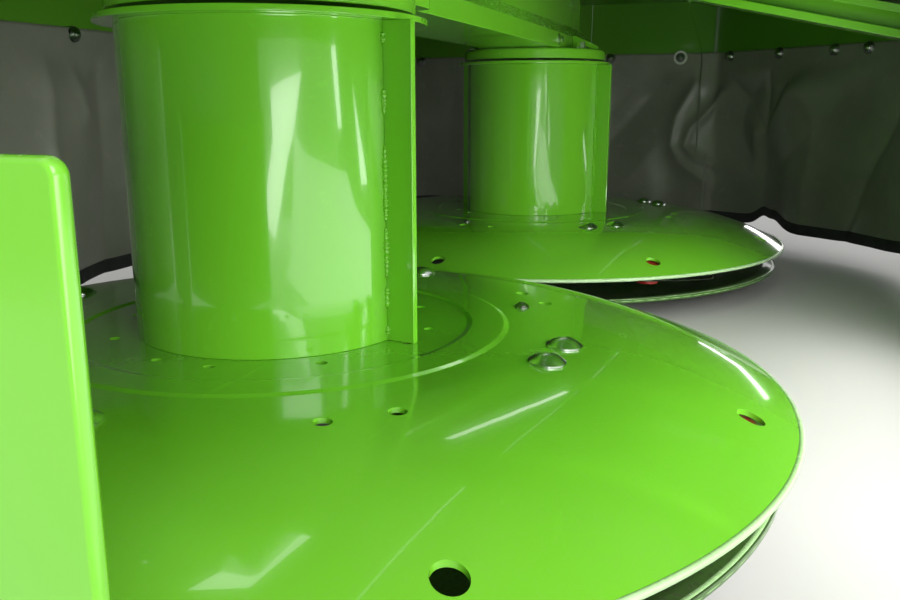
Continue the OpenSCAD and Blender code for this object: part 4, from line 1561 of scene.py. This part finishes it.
@dataclass(frozen=True)
class Curtain:
    """A sheet of coated cloth that hangs from domed snaps, with a bound hem.

    A snap's pair is its width and height, and a ring's three are its width, hole and thickness.
    A wave's pair is its length and its share of the sway.
    """

    name: str
    node: str
    body: Body
    route: Route
    creases: tuple[Crease, ...]
    lifts: tuple[Lift, ...]
    snaps: tuple[float, ...]
    seed: int
    pale_ring: float = 0.0
    far_side: float = 0.0053
    top: float = 0.424
    foot: float = 0.047
    thick: float = 0.0018
    sway: float = 0.007
    waves: tuple[Spot, ...] = ((0.41, 1.0), (0.23, 0.6), (0.137, 0.35))
    wave_lean: float = 0.25
    crumples: int = 26
    crumple_top: Spot = (0.12, 0.43)
    crumple_drop: Spot = (0.05, 0.22)
    crumple_slant: float = 0.9
    crumple_bend: float = 0.02
    crumple_rise: float = 0.0045
    crumple_reach: Spot = (0.012, 0.05)
    calm_end: float = 0.09
    furthest: float = 0.052
    fixed_from: float = 0.396
    fixed_fade: float = 0.07
    take_up: float = 1.012
    step: float = 0.0045
    hem_high: float = 0.021
    hem_half: float = 0.0024
    snap_level: float = 0.4145
    snap_dome: Spot = (0.021, 0.009)
    snap_ring: Point = (0.024, 0.010, 0.0012)
    snap_lift: float = 0.0014
    snap_bolt: Spot = (0.010, 0.0045)
    pale_size: Point = (0.031, 0.012, 0.0016)
    pale_lift: float = 0.0004

    def crumple(self, draw: np.random.Generator, length: float) -> Crease:
        """One small fold at a random place.

        Args:
            draw: the curtain's own row of random numbers.
            length: the plan's whole length.

        Returns:
            The fold, whose line has a bend halfway.
        """
        start = draw.uniform(0.0, length)
        high = draw.uniform(*self.crumple_top)
        drop = draw.uniform(*self.crumple_drop)
        slant = draw.uniform(-self.crumple_slant, self.crumple_slant) * drop
        bend = draw.uniform(-self.crumple_bend, self.crumple_bend)
        middle = (start + 0.5 * slant + bend, high - 0.5 * drop)
        line = ((start, high), middle, (start + slant, high - drop))
        rise = draw.uniform(-self.crumple_rise, self.crumple_rise)
        return Crease(line, rise, draw.uniform(*self.crumple_reach))

    def folds(self, along: np.ndarray, up: np.ndarray, length: float) -> np.ndarray:
        """How far each point stands inward of the plan.

        Three slow sine waves, larger towards the hem, and a number of small seeded folds are
        added, and calmed towards both ends. The chosen creases are added to that. With the sum
        over the furthest distance as s, the point stands at that distance times tanh of s. It
        fades out smoothly towards the top, where the skirt holds the cloth flat.

        Args:
            along: distance along the plan.
            up: height over the ground.
            length: the plan's whole length.

        Returns:
            The distance inward in metres.
        """
        draw = np.random.default_rng(self.seed)
        total = np.zeros(along.shape)
        hang = np.clip((self.top - up) / (self.top - self.foot), 0.0, 1.0)
        calm = np.clip(np.minimum(along, length - along) / self.calm_end, 0.0, 1.0) ** 2
        for wave, size in self.waves:
            phase = draw.uniform(0.0, TAU)
            lean = draw.uniform(-self.wave_lean, self.wave_lean)
            total += self.sway * size * hang * np.sin(TAU * (along + lean * up) / wave + phase)
        for _ in range(int(self.crumples * length)):
            total += self.crumple(draw, length).height(along, up)
        total *= calm
        for crease in self.creases:
            total += crease.height(along, up)
        total = self.furthest * np.tanh(total / self.furthest)
        fade = np.clip((self.fixed_from - up) / self.fixed_fade, 0.0, 1.0)
        return total * fade * fade * (3.0 - 2.0 * fade)

    def hem_height(self, along: np.ndarray) -> np.ndarray:
        """The hem's height: its foot, plus a bell for each lift.

        A bell is the lift's rise times e to minus the square of the distance over its reach.

        Args:
            along: distance along the plan.

        Returns:
            The height over the ground.
        """
        rise = np.full(along.shape, self.foot)
        for lift in self.lifts:
            rise = rise + lift.rise * np.exp(-((along - lift.along) / lift.reach) ** 2)
        return rise

    def surface(self, shares: np.ndarray) -> tuple[np.ndarray, np.ndarray, np.ndarray]:
        """Points of the sheet at shares of its height, counted down from the top.

        Each is the plan's point, moved inward by the fold there, at its share of the way from
        the top to the hem. The normal is the cross product of the steps down and along.

        Args:
            shares: the shares, from 0 at the top to 1 at the hem.

        Returns:
            The points, the normals that face inward and the places on the flat cloth.
        """
        along, points, inward = self.route.stations(self.step)
        foot = self.hem_height(along)
        up = self.top - shares[:, None] * (self.top - foot)[None, :]
        run = np.repeat(along[None, :], len(shares), axis=0)
        out = self.folds(run, up, along[-1])
        level = points[None, :, :] + out[:, :, None] * inward[None, :, :]
        place = np.concatenate([level, up[:, :, None]], axis=-1)
        fall = np.broadcast_to(shares[:, None] * (self.top - self.foot), run.shape)
        flat = np.stack([run, fall], axis=-1)
        normal = np.cross(np.gradient(place, axis=0), np.gradient(place, axis=1))
        normal = normal / np.linalg.norm(normal, axis=2, keepdims=True)
        facing = (normal[..., :2] * inward[None, :, :]).sum(axis=2).mean()
        return place, np.sign(facing) * normal, flat

    def sheet(self, shop: Paintshop) -> bpy.types.Object:
        """Makes the cloth itself, thickened by a modifier.

        Args:
            shop: the finishes.

        Returns:
            The cloth.
        """
        rows = int((self.top - self.foot) / self.step) + 1
        place, _, flat = self.surface(np.linspace(0.0, 1.0, rows))
        obj = make_piece(self.name, grid(place), shop.cloth, self.body,
                         sharp=180.0, cut=flat.reshape(-1, 2))
        wall = obj.modifiers.new("thickness", "SOLIDIFY")
        wall.thickness = self.thick
        wall.offset = 0.0
        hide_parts(self.node)
        return obj

    def hem(self, shop: Paintshop) -> bpy.types.Object:
        """Folds the binding tape round the lower edge: a rounded strip, 21 mm high.

        Its section is a loop of pairs: a share of the tape's height, counted down, and a number
        of half thicknesses off the cloth. Points between three rows of the sheet are their mean,
        weighted by that share.

        Args:
            shop: the finishes.

        Returns:
            The tape.
        """
        tall = self.top - self.foot
        rows = np.array([1.0 - self.hem_high / tall, 1.0 - 0.5 * self.hem_high / tall, 1.0])
        place, normal, _ = self.surface(rows)
        loop = ((0.0, -1.0), (0.06, -0.5), (0.06, 0.5), (0.0, 1.0), (0.5, 1.1), (0.94, 1.0),
                (1.04, 0.5), (1.04, -0.5), (0.94, -1.0), (0.5, -1.1))
        rings = []
        for share, out in loop:
            low = np.clip(2.0 * share - 1.0, 0.0, 1.1)
            top = np.clip(1.0 - 2.0 * share, 0.0, 1.0)
            middle = 1.0 - low - top
            spot = top * place[0] + middle * place[1] + low * place[2]
            lean = top * normal[0] + middle * normal[1] + low * normal[2]
            rings.append(spot + out * self.hem_half * lean)
        along, _, _ = self.route.stations(self.step)
        around = np.array([0.0, 0.002, 0.004, 0.006, 0.016, 0.026, 0.029, 0.031, 0.033, 0.043])
        flat = np.stack(np.broadcast_arrays(along[:, None], around[None, :]), axis=-1).reshape(-1, 2)
        flat = np.concatenate([flat, flat[:1], flat[-1:]])
        return make_piece(f"{self.name}_hem", carried(np.stack(rings, axis=1)), shop.binding,
                          self.body, sharp=60.0, cut=flat)

    def on_cloth(self, along: float, out: float) -> tuple[Point, Point]:
        """A place at the snaps' level.

        Args:
            along: its distance along the plan.
            out: its distance inward of the plan.

        Returns:
            The point and the inward direction.
        """
        point, inward = self.route.at(along)
        spot = point + inward * out
        return (spot[0], spot[1], self.snap_level), (inward[0], inward[1], 0.0)

    def ring(self, shop: Paintshop) -> None:
        """Lays the pale ring round the snap at the far corner.

        Args:
            shop: the finishes.
        """
        spot, into = self.on_cloth(self.pale_ring, 0.5 * self.thick + self.pale_lift)
        pale = Fasteners.washer(*self.pale_size, 32)
        make_piece(f"{self.name}_ring", pale.placed(spot, into), shop.pale_paint, self.body)

    def snaps_and_bolts(self, shop: Paintshop) -> bpy.types.Object:
        """Sets a dome inside and a bolt head outside at each snap.

        Args:
            shop: the finishes.

        Returns:
            One piece with all of them.
        """
        dome = Fasteners.cap(*self.snap_dome, 24)
        ring = Fasteners.washer(*self.snap_ring, 24)
        head = Fasteners.bolt(*self.snap_bolt)
        parts = []
        for along in self.snaps:
            face, into = self.on_cloth(along, 0.5 * self.thick)
            raised, _ = self.on_cloth(along, 0.5 * self.thick + self.snap_lift)
            back, _ = self.on_cloth(along, -self.far_side)
            parts.append(ring.placed(face, into))
            parts.append(dome.placed(raised, into))
            parts.append(head.placed(back, (-into[0], -into[1], 0.0), along))
        return make_piece(f"{self.name}_snaps", Shape.joined(parts), shop.dull_zinc, self.body)

    def build(self, shop: Paintshop) -> None:
        """Makes the sheet with its hem and snaps.

        Args:
            shop: the finishes.
        """
        cloth = self.sheet(shop)
        tape = self.hem(shop)
        if self.pale_ring:
            self.ring(shop)
        trim = [tape, self.snaps_and_bolts(shop)]
        along, _, _ = self.route.stations(self.step)


def curtains() -> list[Curtain]:
    """The three curtains: rear, far end, and the flap's own one.

    The swirl of creases at the far corner is laid out along the flap's curtain, from its far end
    on. The end curtain has the same one behind it, so it is moved along to the same place there.

    Returns:
        The curtains.
    """
    back, end, strip, front = 0.5777, 0.9947, 0.9857, -0.6947
    bend = -0.2948
    slanted_to = strip + front - bend
    behind = 0.8443
    rear = Route(((-0.9727, back), (0.9705, back)))
    far = Route(((0.9727, back), (end, back), (end, -0.17), (0.9888, -0.24), (0.9888, -0.278)))
    flap = Route(((strip, -0.254), (strip, bend), (slanted_to, front), (-0.578, front)))
    swirl = (
        Crease(((-0.009, 0.356), (-0.048, 0.283), (-0.055, 0.217), (-0.034, 0.181), (0.03, 0.134)),
               0.013, 0.013),
        Crease(((0.06, 0.336), (-0.012, 0.255), (-0.024, 0.217), (0.007, 0.185), (0.05, 0.172),
                (0.10, 0.168)), 0.011, 0.009),
    )
    rear_creases = (
        Crease(((0.862, 0.44), (0.852, 0.26), (0.87, 0.05)), 0.014, 0.03),
        Crease(((0.965, 0.42), (0.975, 0.22), (0.955, 0.05)), -0.010, 0.03),
        Crease(((0.90, 0.40), (0.93, 0.30)), 0.006, 0.015),
        Crease(((1.30, 0.44), (1.34, 0.2), (1.31, 0.05)), 0.012, 0.04),
        Crease(((1.62, 0.44), (1.55, 0.2), (1.58, 0.05)), -0.012, 0.05),
    )
    end_creases = tuple(fold.moved(behind) for fold in swirl) + (
        Crease(((0.80, 0.41), (0.70, 0.29), (0.58, 0.15)), -0.022, 0.09, 0.002, True),
        Crease(((0.76, 0.40), (0.70, 0.34), (0.66, 0.29)), 0.006, 0.010),
        Crease(((0.86, 0.14), (0.78, 0.10), (0.70, 0.04)), 0.010, 0.05, 0.004),
        Crease(((0.52, 0.40), (0.50, 0.22), (0.53, 0.05)), 0.016, 0.05),
        Crease(((0.25, 0.40), (0.22, 0.05)), -0.012, 0.06),
    )
    flap_creases = swirl + (
        Crease(((0.180, 0.26), (0.168, 0.15), (0.172, 0.04)), -0.046, 0.135, 0.003, True),
        Crease(((0.045, 0.41), (0.10, 0.35), (0.176, 0.26)), -0.006, 0.008),
        Crease(((0.40, 0.44), (0.30, 0.36), (0.19, 0.265)), 0.036, 0.08, 0.004, True),
        Crease(((0.52, 0.32), (0.46, 0.20), (0.41, 0.05)), -0.016, 0.022, 0.001),
        Crease(((0.195, 0.42), (0.19, 0.33), (0.185, 0.27)), -0.009, 0.010),
        Crease(((0.30, 0.41), (0.24, 0.34), (0.20, 0.29)), -0.007, 0.009),
        Crease(((0.15, 0.25), (0.145, 0.18)), 0.010, 0.012),
        Crease(((0.64, 0.42), (0.60, 0.22), (0.63, 0.05)), 0.018, 0.05),
        Crease(((0.95, 0.42), (1.00, 0.22), (0.97, 0.05)), -0.016, 0.05),
        Crease(((1.30, 0.42), (1.27, 0.22), (1.32, 0.05)), 0.016, 0.05),
    )
    rear_snaps = tuple(0.923 + 0.16 * step for step in range(-5, 7))
    end_snaps = tuple(0.800 - 0.16 * step for step in range(5))
    flap_snaps = (0.072, 0.216, 0.355, 0.434) + tuple(0.58 + 0.15 * step for step in range(8))
    return [
        Curtain("rear_curtain", "curtain_rear", Body.FRAME, rear, rear_creases,
                (Lift(0.3, 0.006, 0.1), Lift(1.5, 0.008, 0.12)), rear_snaps, seed=11),
        Curtain("end_curtain", "curtain_end", Body.FRAME, far, end_creases,
                (Lift(0.2, 0.01, 0.08),), end_snaps, seed=23, pale_ring=end_snaps[0]),
        Curtain("flap_curtain", "curtain_front", Body.FLAP, flap, flap_creases,
                (Lift(0.215, 0.020, 0.055), Lift(0.17, 0.012, 0.02), Lift(0.9, 0.008, 0.1)),
                flap_snaps, seed=37),
    ]


@dataclass(frozen=True)
class Fixing:
    """A row of like fasteners: their head size, height, direction and places."""

    flats: float
    height: float
    axis: Sequence[float]
    places: Sequence[Sequence[float]]
    domed: bool = False

    def shape(self) -> Shape:
        """Makes the fasteners in place, each turned a little further than the last.

        Returns:
            One shape with all of them.
        """
        if self.domed:
            head = Fasteners.cap(self.flats, self.height, 24)
        else:
            head = Fasteners.bolt(self.flats, self.height)
        return Shape.joined([
            head.placed(place, self.axis, 0.37 * index) for index, place in enumerate(self.places)
        ])


def circle(at: Point, radius: float, count: int, start: float) -> tuple[Point, ...]:
    """Points evenly round a circle square to Y, the first at start degrees from +X to +Z."""
    angles = [math.radians(start) + TAU * index / count for index in range(count)]
    return tuple((at[0] + radius * math.cos(a), at[1], at[2] + radius * math.sin(a)) for a in angles)


@dataclass(frozen=True)
class Carriage:
    """Bolts, screws and plugs on the beam, the drive, the hood and the end plate."""

    hood_top: float = 0.540
    beam_top: float = 0.552
    foot_plate: float = 0.014
    lid_thick: float = 0.005
    leaf_thick: float = 0.005
    near_x: float = -0.46
    far_x: float = 0.46
    input_z: float = 0.668
    box_top: float = 0.713
    flap_slope: float = 12.5
    hinge_y: float = -0.222
    hinges: tuple[float, ...] = (-0.78, -0.26, 0.26, 0.78)
    hinge_rows: Spot = (0.030, 0.048)

    def fasten(self, name: str, rows: Sequence[Fixing], material: bpy.types.Material,
               body: Body = Body.FRAME) -> None:
        """Makes one piece of several rows of fasteners, which moves with a body."""
        make_piece(name, Shape.joined([row.shape() for row in rows]), material, body)

    def drive(self, shop: Paintshop) -> None:
        """Sets the bolts of the gearbox, its caps and lids, and its plug, breather and shaft end.

        Args:
            shop: the finishes.
        """
        x, z = self.near_x, self.input_z
        foot = self.beam_top + self.foot_plate
        feet = [(x + side, y, foot) for side in (-0.0825, 0.0825) for y in (-0.05, 0.0, 0.05)]
        lid = [(lid_x, y, self.beam_top) for lid_x in (-0.30, -0.66) for y in (-0.068, 0.068)]
        self.fasten("drive_bolts", [
            Fixing(0.010, 0.006, UP, feet),
            Fixing(0.013, 0.007, UP, lid),
            Fixing(0.010, 0.006, REAR, circle((x, 0.105, z), 0.0575, 6, 30.0)),
            Fixing(0.010, 0.006, FRONT, circle((x, -0.087, z), 0.0455, 6, 0.0)),
            Fixing(0.017, 0.008, NEAR_END, [(-0.535, 0.0, 0.60)]),
            Fixing(0.017, 0.008, UP, [(x + 0.035, -0.03, self.box_top)]),
        ], shop.dull_zinc)
        end = Fixing(0.024, 0.012, REAR, [(x, 0.217, z)])
        self.fasten("shaft_end_bolt", [end], shop.dull_zinc, Body.INPUT)
        breather = revolved([
            (0.007, 0.0), (0.007, 0.006), (0.0105, 0.007), (0.0105, 0.015), (0.003, 0.018),
        ], 20)
        make_piece("breather", breather.placed((x - 0.035, 0.03, self.box_top)), shop.black,
                   Body.FRAME)

    def beam(self, shop: Paintshop) -> None:
        """Sets the bolts of the beam's lid and end plate, and of the collars.

        Args:
            shop: the finishes.
        """
        top = self.beam_top + self.lid_thick
        lid = [(-0.23 + 0.115 * index, y, top) for index in range(8) for y in (-0.029, 0.029)]
        end = [(0.631, sign * y, z) for y, z in ((0.05, 0.422), (0.03, 0.535)) for sign in (-1.0, 1.0)]
        far = [(self.far_x + dx, y, 0.406) for dx in (-0.06, 0.06) for y in (-0.096, 0.096)]
        near = [(self.near_x + dx, y, 0.406) for dx in (-0.045, 0.045) for y in (-0.105, 0.105)]
        front = [(self.far_x + dx, -0.066, 0.419) for dx in (-0.10, 0.10)]
        self.fasten("beam_bolts", [
            Fixing(0.010, 0.006, UP, lid),
            Fixing(0.013, 0.007, FAR_END, end),
            Fixing(0.013, 0.0085, UP, far + near),
            Fixing(0.010, 0.006, FRONT, front),
        ], shop.zinc)

    def hood(self, shop: Paintshop) -> None:
        """Sets the domed bolts that hold the covers on the guard arms, and the hinge screws.

        Args:
            shop: the finishes.
        """
        covers = [(x, y, self.hood_top) for x in (-0.24, 0.34) for y in (-0.17, 0.15, 0.32, 0.52)]
        leaves = [(x + dx, self.hinge_y + dy, self.hood_top + self.leaf_thick)
                  for x in self.hinges for dx in (-0.031, 0.031) for dy in self.hinge_rows]
        self.fasten("hood_bolts", [
            Fixing(0.018, 0.004, UP, covers, True),
            Fixing(0.012, 0.003, UP, leaves, True),
        ], shop.dull_zinc)
        lean = math.radians(self.flap_slope)
        down = np.array((0.0, -math.cos(lean), -math.sin(lean)))
        square = np.array((0.0, -math.sin(lean), math.cos(lean)))
        flap = [np.array((x, self.hinge_y, self.hood_top)) + down * out + square * self.leaf_thick
                for x in self.hinges for out in self.hinge_rows]
        self.fasten("flap_hinge_bolts", [Fixing(0.012, 0.003, square, flap, True)], shop.dull_zinc,
                    Body.FLAP)

    def end_plate(self, shop: Paintshop) -> None:
        """Sets the bolts through the end plate, its brackets and the skirt.

        Args:
            shop: the finishes.
        """
        plate = [(y, z) for y in (-0.12, 0.22) for z in (0.263, 0.292)]
        skirt = [(y, z) for y in (-0.12, 0.22) for z in (0.408, 0.438)]
        self.fasten("end_plate_bolts", [
            Fixing(0.018, 0.0045, FAR_END, [(-0.995, y, z) for y, z in plate], True),
            Fixing(0.013, 0.007, NEAR_END, [(-1.008, y, z) for y, z in plate + skirt]),
        ], shop.zinc)

    def build(self, shop: Paintshop) -> None:
        """Makes every row of fasteners.

        Args:
            shop: the finishes.
        """
        self.drive(shop)
        self.beam(shop)
        self.hood(shop)
        self.end_plate(shop)


def main() -> None:
    """Builds the stage and dresses the mowing unit."""
    logging.basicConfig(level=logging.INFO, format="%(name)s: %(message)s")
    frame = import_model()
    Studio().build()
    shop = Paintshop()
    Solids(frame["nodes"], shop).dress_all()
    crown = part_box("drum_near")[0].z
    for rotor in (
        Rotor("near", Body.DRUM_NEAR, Body.DISH_NEAR, (-0.46, 0.0), crown,
              first_bar=-93.0, first_fin=-100.0),
        Rotor("far", Body.DRUM_FAR, Body.DISH_FAR, (0.46, 0.0), crown,
              first_bar=-50.0, first_fin=-101.0),
    ):
        rotor.build(shop)
    for curtain in curtains():
        curtain.build(shop)
    Carriage().build(shop)
    bpy.context.scene.view_settings.view_transform = "Standard"


if __name__ == "__main__":
    main()
